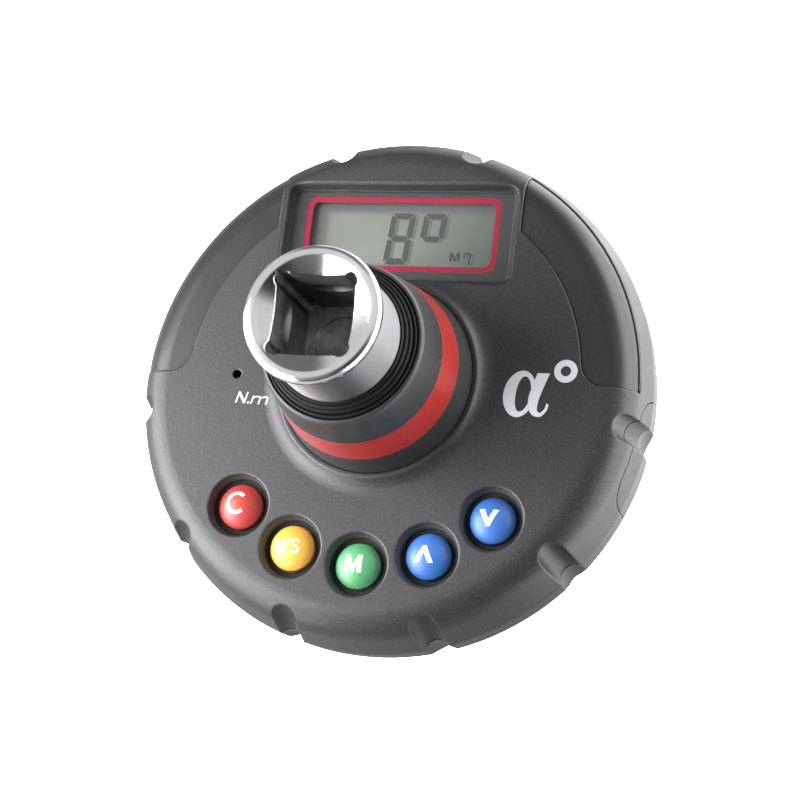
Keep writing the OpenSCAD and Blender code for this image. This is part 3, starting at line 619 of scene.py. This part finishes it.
# gauge film: amber polyimide with fine copper grid lines across the height
foilLook = {
    "film": (0.42, 0.19, 0.045), "wire": (0.72, 0.42, 0.22), "pitch": 0.0006, "waveLength": 0.314,
    "wireSpan": (0.55, 0.7), "rough": (0.38, 0.25), "bump": 0.3, "depth": 0.00002,
}


def foilFinish(name, look):
    material, tree, shader, place = newMaterial(name)
    bands = {"Scale": look["waveLength"] / look["pitch"], "Distortion": 0.0}
    grid = put(tree, "ShaderNodeTexWave", bands, bands_direction="Z")
    join(tree, place, "Object", grid, "Vector")
    wires = spread(tree, grid, "Fac", *look["wireSpan"])
    join(tree, blendColour(tree, wires, 0, look["film"], look["wire"]), 2, shader, "Base Color")
    join(tree, spread(tree, wires, 0, 0.0, 1.0, *look["rough"]), 0, shader, "Roughness")
    addBump(tree, shader, wires, 0, look["bump"], look["depth"])
    return material


# battery cell: wrapped sleeve with a pale ring near one end and bare metal ends, by distance along its axis
cellLook = {
    "axis": (0.9781476, -0.2079117, 0.0), "near": 0.0147, "far": 0.0397, "rim": 0.0009, "rimSoft": 0.00018,
    "ringFrom": 0.0062, "ringTo": 0.0034, "ringSoft": 0.0002, "smudge": 140.0, "rough": (0.31, 0.34),
    "sleeve": (0.030, 0.055, 0.115), "ring": (0.55, 0.56, 0.58), "bare": (0.66, 0.66, 0.67),
}


def cellFinish(name, look):
    material, tree, shader, place = newMaterial(name)
    along = put(tree, "ShaderNodeVectorMath", {1: look["axis"]}, operation="DOT_PRODUCT")
    join(tree, place, "Object", along, 0)
    lowRim, highRim = look["near"] + look["rim"], look["far"] - look["rim"]
    ringLow, ringHigh = look["far"] - look["ringFrom"], look["far"] - look["ringTo"]
    ring = combine(tree, "MULTIPLY", [
        spread(tree, along, "Value", ringLow, ringLow + look["ringSoft"]),
        spread(tree, along, "Value", ringHigh, ringHigh - look["ringSoft"]),
    ])
    ends = combine(tree, "MAXIMUM", [
        spread(tree, along, "Value", lowRim, lowRim - look["rimSoft"]),
        spread(tree, along, "Value", highRim, highRim + look["rimSoft"]),
    ])
    colour = blendColour(tree, ring, 0, look["sleeve"], look["ring"])
    colour = blendColour(tree, ends, 0, colour, look["bare"])
    join(tree, colour, 2, shader, "Base Color")
    join(tree, ends, 0, shader, "Metallic")
    join(tree, smudged(tree, place, look), 0, shader, "Roughness")
    return material


trimFinish = plasticFinish("trimGloss", trimLook)
legendFinish = plasticFinish("legendWhite", legendLook)
printFinish = plasticFinish("facePrint", printLook)
unitFinish = plasticFinish("unitPrint", unitLook)
borderFinish = plasticFinish("windowBorder", borderLook)
lineFinish = plasticFinish("windowLine", lineLook)
digitFinish = plasticFinish("digitDark", digitLook)
paintedDigitShadowFinish = plasticFinish("digitPaintedShadow", paintedDigitShadowLook)
finishBySlot = {
    "shell": plasticFinish("shellGrain", shellLook),
    "collar": plasticFinish("collarSatin", collarLook),
    "red_band": plasticFinish("bandRed", bandLook),
    "seal": rubberFinish("sealRubber", sealLook),
    "chrome": chromeFinish("driveChrome", chromeLook),
    "bronze": metalFinish("bushBronze", bronzeLook),
    "steel": metalFinish("groundSteel", steelLook),
    "gauge_foil": foilFinish("gaugeFilm", foilLook),
    "board": boardFinish("boardMask", boardLook),
    "lcd": panelFinish("displayPanel", panelLook),
    "window": clearFinish("clearPlate", clearLook),
    "lamp": plasticFinish("lampSmoke", lampLook),
    "led": plasticFinish("ledEpoxy", ledLook),
    "inner_plastic": plasticFinish("innerBlack", innerLook),
    "key_red": plasticFinish("keyRed", keyRedLook),
    "key_yellow": plasticFinish("keyYellow", keyYellowLook),
    "key_green": plasticFinish("keyGreen", keyGreenLook),
    "key_blue": plasticFinish("keyBlue", keyBlueLook),
    "contact": metalFinish("contactBrass", contactLook),
    "cell": cellFinish("cellSleeve", cellLook),
}
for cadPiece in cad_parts.values():
    for pocket in cadPiece.material_slots:
        pocket.material = finishBySlot[pocket.material.name.split(".")[0]]
print("finishes on the CAD pieces:", len(finishBySlot))


# quads of a grid of rows and columns, wrapped round where asked
def gridFaces(rows, cols, wrapRows=False, wrapCols=False):
    i = np.arange(rows if wrapRows else rows - 1)[:, None]
    j = np.arange(cols if wrapCols else cols - 1)[None, :]
    down, over = (i + 1) % rows, (j + 1) % cols
    return np.stack([i * cols + j, i * cols + over, down * cols + over, down * cols + j], -1).reshape(-1, 4)


# a closed skin has a positive sum of corner triple products when its faces look outward; turned round if not
def facesOut(points, faces):
    a, b, c, d = (points[faces[:, k]] for k in range(4))
    volume = np.einsum("ij,ij->i", a, np.cross(b, c)).sum() + np.einsum("ij,ij->i", a, np.cross(c, d)).sum()
    return faces if volume > 0 else faces[:, ::-1]


def addPiece(name, points, faces, finish, body, smooth=False):
    mesh = bpy.data.meshes.new(name)
    mesh.from_pydata(points.tolist(), [], faces.tolist())
    mesh.polygons.foreach_set("use_smooth", np.full(len(mesh.polygons), smooth))
    mesh.materials.append(finish)
    mesh.update()
    piece = addObject(name, mesh)
    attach(piece, body)
    return piece


# rounded rectangle as four quarter circles about its corner centres, walked once round
def rectLoop(halfX, halfY, corner, centreY, steps=10):
    angle = np.linspace(0.0, math.pi / 2, steps)
    quarter = np.arange(4)[:, None] * math.pi / 2
    signX = np.array([1, -1, -1, 1])[:, None]
    signY = np.array([1, 1, -1, -1])[:, None]
    x = signX * (halfX - corner) + corner * np.cos(angle + quarter)
    y = signY * (halfY - corner) + corner * np.sin(angle + quarter) + centreY
    return np.stack([x.ravel(), y.ravel()], -1)


# a level print keeps one height
def onLevel(flat, height):
    return np.column_stack([flat, np.full(len(flat), height)])


# flat frame: a four-point profile (inner top, outer top, outer bottom, inner bottom) carried round a loop
def flatFrame(name, inner, outer, top, bottom, finish):
    loops = [(inner, top), (outer, top), (outer, bottom), (inner, bottom)]
    points = np.stack([onLevel(loop, height) for loop, height in loops])
    rows, cols = points.shape[:2]
    points = points.reshape(-1, 3) * mm
    faces = facesOut(points, gridFaces(rows, cols, True, True))
    return addPiece(name, points, faces, finish, "housing")


windowPrint = {
    "plateHalf": (19.85, 7.90), "plateCorner": 1.1, "centreY": 26.35,
    "lineHalf": (17.55, 6.78), "lineCorner": 1.7, "lineWidth": 1.0, "lineCentreY": 26.74, "cornerShrink": 0.6,
    "top": 47.346, "bottom": 47.318,
}


def makeWindowPrint(look):
    (halfX, halfY), corner, width = look["lineHalf"], look["lineCorner"], look["lineWidth"]
    outer = rectLoop(*look["plateHalf"], look["plateCorner"], look["centreY"])
    middle = rectLoop(halfX, halfY, corner, look["lineCentreY"])
    inner = rectLoop(halfX - width, halfY - width, corner - look["cornerShrink"] * width, look["lineCentreY"])
    flatFrame("window_border", middle, outer, look["top"], look["bottom"], borderFinish)
    flatFrame("window_line", inner, middle, look["top"], look["bottom"], lineFinish)


makeWindowPrint(windowPrint)
print("window print made")


# strokes: six-cornered flat bars, leaned by a shear and lifted to thin prisms
def segmentPrisms(name, bars, look, top, bottom, finish, shift=(0.0, 0.0)):
    flat = np.array(bars, float) + np.array(shift)
    flat[..., 0] += look["lean"] * (flat[..., 1] - look["baseY"])
    count, corners = flat.shape[:2]
    levels = [np.dstack([flat, np.full((count, corners), height)]) for height in (top, bottom)]
    points = np.concatenate(levels, 1).reshape(-1, 3) * mm
    k = np.arange(corners)
    after = (k + 1) % corners
    sides = np.stack([k, k + corners, after + corners, after], -1)
    caps = np.array([[0, 5, 4, 1], [1, 4, 3, 2], [6, 7, 10, 11], [7, 8, 9, 10]])
    pattern = np.concatenate([sides, caps])
    faces = (pattern[None] + 2 * corners * np.arange(count)[:, None, None]).reshape(-1, 4)
    return addPiece(name, points, facesOut(points, faces), finish, "housing")


# bars walk clockwise, so that all their prisms look outward together
def turned(bar):
    x, y = bar[:, 0], bar[:, 1]
    area = (x * np.roll(y, -1) - y * np.roll(x, -1)).sum()
    return bar if area < 0 else bar[[0, 5, 4, 3, 2, 1]]


# seven-bar digit: the top bar and the upper right bar are mitred where they meet, with cut corners, the middle
# bar is pointed at both ends, and the others are their mirror images
def digitBars(cx, cy, h, v, t, gap, lit, cutShare=0.45):
    cut = cutShare * t
    level = np.array([(t - h + gap, v - t), (cut + gap - h, v), (h - gap - cut, v), (h - t - gap, v - t),
                      (h - 2 * t - gap, v - 2 * t), (2 * t - h + gap, v - 2 * t)])
    upright = np.array([(h - t, gap), (h - 2 * t, t + gap), (h - 2 * t, v - 2 * t - gap), (h - t, v - t - gap),
                        (h, v - gap - cut), (h, gap + cut)])
    middle = np.array([(t - h + gap, 0), (2 * t - h + gap, t), (h - 2 * t - gap, t), (h - t - gap, 0),
                       (h - 2 * t - gap, -t), (2 * t - h + gap, -t)])
    bars = {"a": level, "d": level * (1, -1), "b": upright, "c": upright * (1, -1), "f": upright * (-1, 1),
            "e": upright * (-1, -1), "g": middle}
    return [turned(bars[letter]) + np.array([cx, cy]) for letter in lit]


# columns: a stroke read left to right, each station (across, lowest ink, highest ink), straight between them
def columns(stations, centre, half, fine, across):
    s = np.asarray(stations, float)
    t = np.linspace(0, len(s) - 1, (len(s) - 1) * fine + 1)
    x, low, high = (np.interp(t, np.arange(len(s)), s[:, k]) for k in range(3))
    y = low[:, None] + (high - low)[:, None] * np.linspace(0, 1, across)
    flat = np.stack([np.repeat(x[:, None], across, 1), y], -1).reshape(-1, 2)
    return flat * np.array(half) + np.array(centre), gridFaces(len(t), across)


# ribbon: a line with a width on both sides along its normals, closed round where asked, cut level at a roof
def ribbon(line, half, closed=False, across=5, roof=math.inf):
    step = np.roll(line, -1, 0) - np.roll(line, 1, 0) if closed else np.gradient(line, axis=0)
    normal = np.column_stack([-step[:, 1], step[:, 0]]) / np.linalg.norm(step, axis=1)[:, None]
    reach = np.broadcast_to(half, len(line))[:, None, None] * np.linspace(-1, 1, across)[None, :, None]
    flat = (line[:, None] + normal[:, None] * reach).reshape(-1, 2)
    flat[:, 1] = np.minimum(flat[:, 1], roof)
    return flat, gridFaces(len(line), across, closed)


# smooth curve through points: four-point cubic pieces (each point's slope is half the step between its
# neighbours), walked to just short of the last point
def smoothLine(points, count, shortBy=1e-9):
    p = np.asarray(points, float)
    p = np.concatenate([2 * p[:1] - p[1:2], p, 2 * p[-1:] - p[-2:-1]])
    place = np.linspace(0, len(p) - 3 - shortBy, count)
    k = place.astype(int)
    t = (place - k)[:, None]
    a, b, c, d = p[k], p[k + 1], p[k + 2], p[k + 3]
    return b + 0.5 * t * (c - a + t * (2 * a - 5 * b + 4 * c - d + t * (3 * (b - c) + d - a)))


# arc of an ellipse: the centre plus its two radii times the cosine and sine of even angles, in degrees
def ellipseLine(centre, radii, start, stop, count):
    turn = np.radians(np.linspace(start, stop, count))
    return np.column_stack([centre[0] + radii[0] * np.cos(turn), centre[1] + radii[1] * np.sin(turn)])


# ink: flat patches put together, each turned face up, then laid on a surface by its own height rule
def inkPiece(name, patches, lay, finish, body):
    flats, faceSets, count = [], [], 0
    for flat, faces in patches:
        a, b, c = (flat[faces[:, k]] for k in range(3))
        area = ((b - a)[:, 0] * (c - a)[:, 1] - (b - a)[:, 1] * (c - a)[:, 0]).sum()
        faceSets.append((faces if area > 0 else faces[:, ::-1]) + count)
        flats.append(flat)
        count += len(flat)
    points = lay(np.concatenate(flats)) * mm
    return addPiece(name, points, np.concatenate(faceSets), finish, body, True)


# a print on the face: level, then up the round foot of the hub lip (a circle of its radius on the face)
def onFace(flat, look):
    radius = look["footRadius"]
    near = np.clip(look["footReach"] - np.hypot(flat[:, 0], flat[:, 1]), 0, look["climb"] * radius)
    drop = np.column_stack([np.zeros((len(flat), 2)), np.sqrt(radius ** 2 - near ** 2)])
    return onLevel(flat, look["film"] + radius) - drop


# a print on a key: the cap's centre plus the root of (radius squared less distance squared), plus a film
def onDome(flat, look, centre):
    rise = np.sqrt(look["capRadius"] ** 2 - flat[:, 0] ** 2 - flat[:, 1] ** 2)
    return np.column_stack([flat + np.array(centre), look["capCentreZ"] + rise + look["film"]])


letterShape = {
    "M": [[(-1.0, -1, 1), (-0.52, -1, 1)],
          [(-0.52, 0.28, 1), (-0.19, -1, 0.19), (0, -1, -0.28), (0.19, -1, 0.19), (0.52, 0.28, 1)],
          [(0.52, -1, 1), (1.0, -1, 1)]],
    "N": [[(-1.0, -1, 1), (-0.64, -1, 1)],
          [(-0.64, 0.34, 1), (0.64, -1, -0.34)],
          [(0.64, -1, 1), (1.0, -1, 1)]],
    "m": [[(-1.0, -1, 1), (-0.79, -1, 1)],
          [(-0.79, 0.28, 0.80), (-0.55, 0.58, 0.98), (-0.32, 0.62, 1.0), (-0.10, 0.50, 0.95)],
          [(-0.10, -1, 0.95), (0.11, -1, 0.72)],
          [(0.11, 0.28, 0.72), (0.35, 0.58, 0.98), (0.58, 0.62, 1.0), (0.79, 0.50, 0.95)],
          [(0.79, -1, 0.95), (1.0, -1, 0.60)]],
    ".": [[(-1.0, -1, 1), (1.0, -1, 1)]],
}

# each digit: its centre, half width, half height, half bar width and gap
digits = {
    "eight": (-0.47, 26.33, 2.18, 4.64, 0.52, 0.10), "degree": (5.34, 26.33, 2.14, 4.64, 0.52, 0.10),
    "seven": (12.35, 22.75, 0.64, 1.20, 0.16, 0.03),
    "letter": (9.86, 23.2), "letterHalf": (0.90, 0.82), "lean": 0.087, "baseY": 26.33,
    "top": 46.292, "bottom": 46.282, "paintedShadowTop": 46.266, "paintedShadowBottom": 46.258, "paintedShadowShift": (0.62, -0.22),
}


def makeDigits(look):
    lit = {"eight": "abcdefg", "degree": "abfg", "seven": "abcf"}
    bars = [bar for digit, letters in lit.items() for bar in digitBars(*look[digit], letters)]
    segmentPrisms("display_digits", bars, look, look["top"], look["bottom"], digitFinish)
    # a painted shadow: a copy of the bars, lower, shifted and darker than the panel
    segmentPrisms("display_digit_painted_shadow", bars, look, look["paintedShadowTop"], look["paintedShadowBottom"], paintedDigitShadowFinish,
                  look["paintedShadowShift"])
    strokes = [columns(part, look["letter"], look["letterHalf"], 1, 2) for part in letterShape["M"]]
    inkPiece("display_letter", strokes, lambda flat: onLevel(flat, look["top"]), digitFinish, "housing")


makeDigits(digits)
print("display digits made")

keyPrint = {
    "capRadius": 5.209, "capCentreZ": 45.091, "film": 0.015, "shift": (-0.38, 0.20),
    "clear": {"radii": (1.62, 1.68), "open": 46, "half": 0.30, "centre": (0.05, 0.20), "steps": 60},
    "unit": {
        "half": 0.15, "bar": ((-0.38, -1.20), (0.46, 1.22)), "barSteps": 24,
        "u": (-1.38, 0.62, 1.08), "uprightFoot": -0.40, "uprightSteps": 14,
        "bowlCentre": -0.45, "bowlDepth": 0.55, "bowlSteps": 30, "s": (1.42, 0.56, 1.08), "curveSteps": 70,
        "curve": [(0.95, 0.62), (0.45, 0.97), (-0.40, 0.98), (-0.96, 0.60), (-0.55, 0.20), (0.40, -0.12),
                  (0.98, -0.52), (0.45, -0.97), (-0.40, -0.98), (-0.97, -0.66)],
    },
    "memory": {"half": (1.46, 1.50)},
    "arrow": {"halfX": 1.68, "halfY": 1.42, "foot": 0.92, "peak": 0.30, "notch": 0.22, "slit": 0.004},
    "places": [
        ("clear_button", "clear_key", (-22.1, -23.0), "key_red"),
        ("unit_button", "unit_key", (-11.9, -29.6), "key_yellow"),
        ("memory_button", "memory_key", (0.0, -31.9), "key_green"),
        ("up_button", "up_key", (11.9, -29.6), "key_blue"),
        ("down_button", "down_key", (22.1, -23.0), "key_blue"),
    ],
}


# arrow head: across runs from the outer edge (a flat peak to the feet) to the inner edge (a notch), along runs
# foot to foot
def arrowPatch(look, way, steps=14, across=5):
    side = np.repeat([-1.0, 1.0], steps)[:, None]
    far = np.concatenate([np.linspace(1, 0, steps), np.linspace(0, 1, steps)])[:, None]
    v = np.linspace(0.0, 1.0, across)[None, :]
    outX = look["peak"] + far * (look["halfX"] - look["peak"])
    outY = look["halfY"] * (1 - 2 * far)
    inX = look["slit"] + far * (look["halfX"] - look["foot"])
    inY = look["notch"] - far * (look["notch"] + look["halfY"])
    x = side * (outX + (inX - outX) * v)
    y = way * (outY + (inY - outY) * v)
    return np.stack([x, y], -1).reshape(-1, 2), gridFaces(2 * steps, across)


# unit key: a bowl between two uprights, a slanted bar, and a double curve; each letter has a place, half width
# and half height
def unitPatches(look):
    ux, uw, uh = look["u"]
    sx, sw, sh = look["s"]
    count = look["uprightSteps"]
    down = np.linspace(uh, look["uprightFoot"] * uh, count)
    up = np.linspace(look["uprightFoot"] * uh, uh, count)
    centre, radii = (ux, look["bowlCentre"] * uh), (uw, look["bowlDepth"] * uh)
    bowl = ellipseLine(centre, radii, 180, 360, look["bowlSteps"])
    line = np.concatenate([np.column_stack([np.full(count, ux - uw), down]), bowl,
                           np.column_stack([np.full(count, ux + uw), up])])
    knots = np.array(look["curve"]) * np.array([sw, sh]) + np.array([sx, 0.0])
    bar = np.linspace(*look["bar"], look["barSteps"])
    return [ribbon(stroke, look["half"]) for stroke in (line, bar, smoothLine(knots, look["curveSteps"]))]


def makeKeyPrints(look):
    clear = look["clear"]
    opened = ellipseLine(clear["centre"], clear["radii"], clear["open"], 360 - clear["open"], clear["steps"])
    patches = {
        "clear_button": [ribbon(opened, clear["half"])],
        "unit_button": unitPatches(look["unit"]),
        "memory_button": [columns(part, (0, 0), look["memory"]["half"], 8, 13) for part in letterShape["M"]],
        "up_button": [arrowPatch(look["arrow"], 1.0)],
        "down_button": [arrowPatch(look["arrow"], -1.0)],
    }
    for node, body, centre, slotName in look["places"]:
        inkPiece(node + "_legend", patches[node],
                 lambda flat: onDome(flat + np.array(look["shift"]), look, centre),
                 legendFinish, body)


makeKeyPrints(keyPrint)
print("key legends made")

# angle sign: a leaning bowl (an ellipse whose ribbon swells on the left, and a little on the right),
# a stem on a smooth curve, and a small ring
angleSign = {
    "bowl": (25.0, -1.65, 2.0, 3.50), "lean": 0.07, "steps": 96,
    "bowlThin": 0.30, "bowlSwell": 0.75, "nose": 0.12, "noseSharpness": 8,
    "stem": [(28.65, 2.6), (28.45, 2.0), (27.75, -0.2), (27.15, -2.6), (27.35, -4.5), (28.45, -5.1),
             (29.35, -4.2), (29.6, -3.2)],
    "stemHalf": [1.02, 1.0, 0.95, 0.88, 0.62, 0.34, 0.24, 0.20], "stemTop": 2.02, "stemSteps": 90,
    "ring": (32.14, 2.5), "ringRadius": 1.42, "ringHalf": 0.55, "film": 50.014, "stemFilm": 50.020,
}


def makeAngleSign(look):
    turn = np.linspace(0, fullTurn, look["steps"], endpoint=False)
    cx, cy, rx, ry = look["bowl"]
    bowl = np.column_stack([cx + rx * np.cos(turn) + look["lean"] * ry * np.sin(turn), cy + ry * np.sin(turn)])
    swell = look["bowlSwell"] * ((1 - np.cos(turn)) / 2) ** 2
    half = look["bowlThin"] + swell + look["nose"] * np.cos(turn / 2) ** look["noseSharpness"]
    ring = np.column_stack([np.cos(turn), np.sin(turn)]) * look["ringRadius"] + np.array(look["ring"])
    inkPiece("angle_sign_bowl", [ribbon(bowl, half, True, 3), ribbon(ring, look["ringHalf"], True, 3)],
             lambda flat: onLevel(flat, look["film"]), printFinish, "housing")
    stem = smoothLine(look["stem"], look["stemSteps"])
    stemHalf = smoothLine(np.array(look["stemHalf"])[:, None], look["stemSteps"])[:, 0]
    inkPiece("angle_sign_stem", [ribbon(stem, stemHalf, False, 3, look["stemTop"])],
             lambda flat: onLevel(flat, look["stemFilm"]), printFinish, "housing")


makeAngleSign(angleSign)
print("angle sign made")

# unit mark by the sound hole: three letters on one baseline, leaned by a shear and turned a little; each has
# a place, half width and half height
unitMark = {
    "letters": [("N", -2.0, 0.0, 0.92, 1.03), (".", -0.55, -0.83, 0.20, 0.20), ("m", 1.38, -0.28, 1.52, 0.75)],
    "centre": (-22.1, -4.2), "lean": 0.22, "turn": -0.03, "film": 50.05,
    "footReach": 20.35, "footRadius": 3.6, "climb": 0.9,
}


def makeUnitMark(look):
    patches = [columns(part, (x, y), (w, h), 6, 9)
               for letter, x, y, w, h in look["letters"] for part in letterShape[letter]]
    c, s = math.cos(look["turn"]), math.sin(look["turn"])
    spin = np.array([[1.0, 0.0], [look["lean"], 1.0]]) @ np.array([[c, s], [-s, c]])
    inkPiece("unit_mark", patches, lambda flat: onFace(flat @ spin + np.array(look["centre"]), look),
             unitFinish, "housing")


makeUnitMark(unitMark)
print("unit mark made")


# tube: a circle in the plane of two directions, carried along a path; quads across it close each end ring
def tubePiece(name, path, side, up, radius, finish, steps=10):
    turn = np.linspace(0, fullTurn, steps, endpoint=False)
    ring = np.cos(turn)[None, :, None] * side[:, None] + np.sin(turn)[None, :, None] * up[:, None]
    reach = np.broadcast_to(radius, len(path))[:, None, None]
    points = (path[:, None] + reach * ring).reshape(-1, 3) * mm
    k = np.arange(steps // 2 - 1)
    cap = np.stack([k, k + 1, steps - 2 - k, steps - 1 - k], -1)
    wall = gridFaces(len(path), steps, False, True)
    faces = np.concatenate([wall, cap[:, ::-1], cap + (len(path) - 1) * steps])
    return addPiece(name, points, facesOut(points, faces), finish, "housing", True)


# beads: the moulded edge of the display pocket on its right, and the outer seams of the light windows
beads = {
    "pocket": {"edge": (21.05, 32.4), "corner": (18.85, 19.4), "cornerRadius": 2.2, "end": 13.0,
               "height": 49.92, "radius": 0.15, "edgeSteps": 40, "cornerSteps": 16, "endSteps": 18},
    "seam": {"reach": 43.72, "height": 45.77, "radius": 0.21, "from": 0.7, "to": 59.4, "steps": 90},
    "taperSteps": 4.0, "tipShare": 0.01,
}


# bead: a tube along a level path, thinned at both ends by the root of the steps from the end
def makeBead(name, path, radius, look):
    step = np.gradient(path, axis=0)
    side = np.column_stack([-step[:, 1], step[:, 0], np.zeros(len(path))])
    side /= np.linalg.norm(step[:, :2], axis=1)[:, None]
    up = np.broadcast_to([0.0, 0.0, 1.0], path.shape)
    count = np.arange(len(path))
    taper = np.clip(np.minimum(count, count[::-1]) / look["taperSteps"], look["tipShare"], 1.0) ** 0.5
    return tubePiece(name, path, side, up, radius * taper, trimFinish)


def makeBeads(look):
    pocket, seam = look["pocket"], look["seam"]
    (edgeX, edgeTop), (cornerX, cornerY), radius = pocket["edge"], pocket["corner"], pocket["cornerRadius"]
    edge = np.linspace((edgeX, edgeTop), (edgeX, cornerY), pocket["edgeSteps"])
    corner = ellipseLine((cornerX, cornerY), (radius, radius), 0, -90, pocket["cornerSteps"])[1:]
    end = np.linspace((cornerX, cornerY - radius), (pocket["end"], cornerY - radius), pocket["endSteps"])[1:]
    path = onLevel(np.concatenate([edge, corner, end]), pocket["height"])
    makeBead("pocket_edge", path, pocket["radius"], look)
    arc = ellipseLine((0, 0), (seam["reach"], seam["reach"]), seam["from"], seam["to"], seam["steps"])
    right = onLevel(arc, seam["height"])
    makeBead("light_seam_right", right, seam["radius"], look)
    makeBead("light_seam_left", right * np.array([-1.0, 1.0, 1.0]), seam["radius"], look)


makeBeads(beads)
print("beads made")

# detent coil: it stands for the CAD spring
coil = {"wire": 0.25, "turns": 5.5, "steps": 32, "endPitch": 0.53, "travel": 0.9}


# a round wire carried along a helix about the ball's axis, its first and last turns wound close
def makeCoil(look):
    low, high = (np.array(corner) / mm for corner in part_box("detent_spring"))
    middle, length, wire, turns = (low + high) / 2, high[1] - low[1], look["wire"], look["turns"]
    reach = (high[0] - low[0]) / 2 - wire
    count = np.linspace(0.0, turns, int(turns * look["steps"]) + 1)
    span = length - 2 * wire
    rise = np.interp(count, [0, 1, turns - 1, turns], [0, look["endPitch"], span - look["endPitch"], span])
    out = np.column_stack([np.cos(fullTurn * count), np.zeros(len(count)), np.sin(fullTurn * count)])
    path = middle * np.array([1, 0, 1]) + reach * out + np.outer(low[1] + wire + rise, [0, 1, 0])
    across = np.cross(np.gradient(path, axis=0), out)
    across /= np.linalg.norm(across, axis=1)[:, None]
    piece = tubePiece("detent_coil", path, out, across, wire, finishBySlot["steel"])
    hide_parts("detent_spring")
    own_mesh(piece)


makeCoil(coil)
print("detent coil made")

# pale floor that glows, more to the right, and white to the viewer
floorLook = {
    "half": 4.0, "height": -0.0002, "dark": (0.22, 0.22, 0.22), "light": (0.25, 0.25, 0.25), "smudge": 3.0,
    "rough": 0.9, "specular": 0.1, "glow": 3.6, "glowWay": (0.92, 0.39, 0.0), "glowSpan": (0.018, 0.070),
    "glowLeft": (0.05, 0.05, 0.05), "glowRight": (1.0, 1.0, 1.0),
}


def makeFloor(look):
    material, tree, shader, place = newMaterial("floorPaper")
    cloud = useGroup(tree, handSmudge, place, Scale=look["smudge"])
    join(tree, blendColour(tree, cloud, "Smudge", look["dark"], look["light"]), 2, shader, "Base Color")
    shader.inputs["Roughness"].default_value = look["rough"]
    shader.inputs["Specular IOR Level"].default_value = look["specular"]
    side = put(tree, "ShaderNodeVectorMath", {1: look["glowWay"]}, operation="DOT_PRODUCT")
    join(tree, place, "Object", side, 0)
    right = spread(tree, side, "Value", *look["glowSpan"])
    glow = blendColour(tree, right, 0, look["glowLeft"], look["glowRight"])
    path = put(tree, "ShaderNodeLightPath")
    seen = blendColour(tree, path, "Is Camera Ray", glow, look["glowRight"])
    join(tree, seen, 2, shader, "Emission Color")
    shader.inputs["Emission Strength"].default_value = look["glow"]
    corners = np.array([[-1, -1], [1, -1], [1, 1], [-1, 1]]) * look["half"]
    mesh = bpy.data.meshes.new("pale_floor")
    mesh.from_pydata(onLevel(corners, look["height"]).tolist(), [], [[0, 1, 2, 3]])
    mesh.materials.append(material)
    floor = addObject("pale_floor", mesh)


# pale surround with dark gaps, each a direction, the angles where it starts and is full, and its tone
surroundLook = {
    "tone": (0.68, 0.68, 0.69),
    "gaps": [
        ((0.38, -0.42, 0.82), 36.0, 16.0, (0.02, 0.02, 0.02)),
        ((-0.10, 0.90, 0.38), 34.0, 20.0, (0.16, 0.16, 0.165)),
        ((-0.10, -0.76, 0.62), 32.0, 16.0, (0.06, 0.06, 0.06)),
        ((0.25, -0.95, 0.18), 56.0, 32.0, (0.04, 0.04, 0.04)),
    ],
}


def makeSurround(look):
    world = bpy.data.worlds.new("paleSurround")
    world.use_nodes = True
    tree = world.node_tree
    way = put(tree, "ShaderNodeTexCoord")
    tone = look["tone"]
    for direction, outer, inner, dim in look["gaps"]:
        aim = np.array(direction) / np.linalg.norm(direction)
        toward = put(tree, "ShaderNodeVectorMath", {1: aim.tolist()}, operation="DOT_PRODUCT")
        join(tree, way, "Generated", toward, 0)
        share = spread(tree, toward, "Value", math.cos(math.radians(outer)), math.cos(math.radians(inner)))
        share.interpolation_type = "SMOOTHSTEP"
        tone = blendColour(tree, share, 0, tone, dim)
    join(tree, tone, 2, tree.nodes["Background"], "Color")
    bpy.context.scene.world = world


# soft boxes: each has a direction from the target, a distance, a size and a power
lampSetup = {
    "target": (0.0, 0.0, 0.05),
    "boxes": [
        ("leftBox", (-0.82, -0.17, 0.55), 0.225, (0.21, 0.21), 1.8),
        ("frontLeft", (-0.66, -0.70, 0.27), 0.45, (0.26, 0.26), 1.2),
        ("rightPanel", (0.90, 0.38, 0.18), 0.80, (1.20, 0.40), 8.5),
    ],
}


def makeLamps(setup):
    for name, direction, distance, size, power in setup["boxes"]:
        lamp = bpy.data.lights.new(name, "AREA")
        lamp.shape = "RECTANGLE"
        lamp.size, lamp.size_y = size
        lamp.energy = power
        away = np.array(direction) / np.linalg.norm(direction)
        side = np.cross((0.0, 0.0, 1.0), away)
        side = side / np.linalg.norm(side)
        place = away * distance + np.array(setup["target"])
        holder = addObject(name, lamp)
        holder.matrix_world = aimed(*(v.tolist() for v in (place, side, np.cross(away, side), away)))


makeFloor(floorLook)
makeSurround(surroundLook)
makeLamps(lampSetup)
bpy.context.scene.view_settings.view_transform = "Standard"
print("stage and light made")
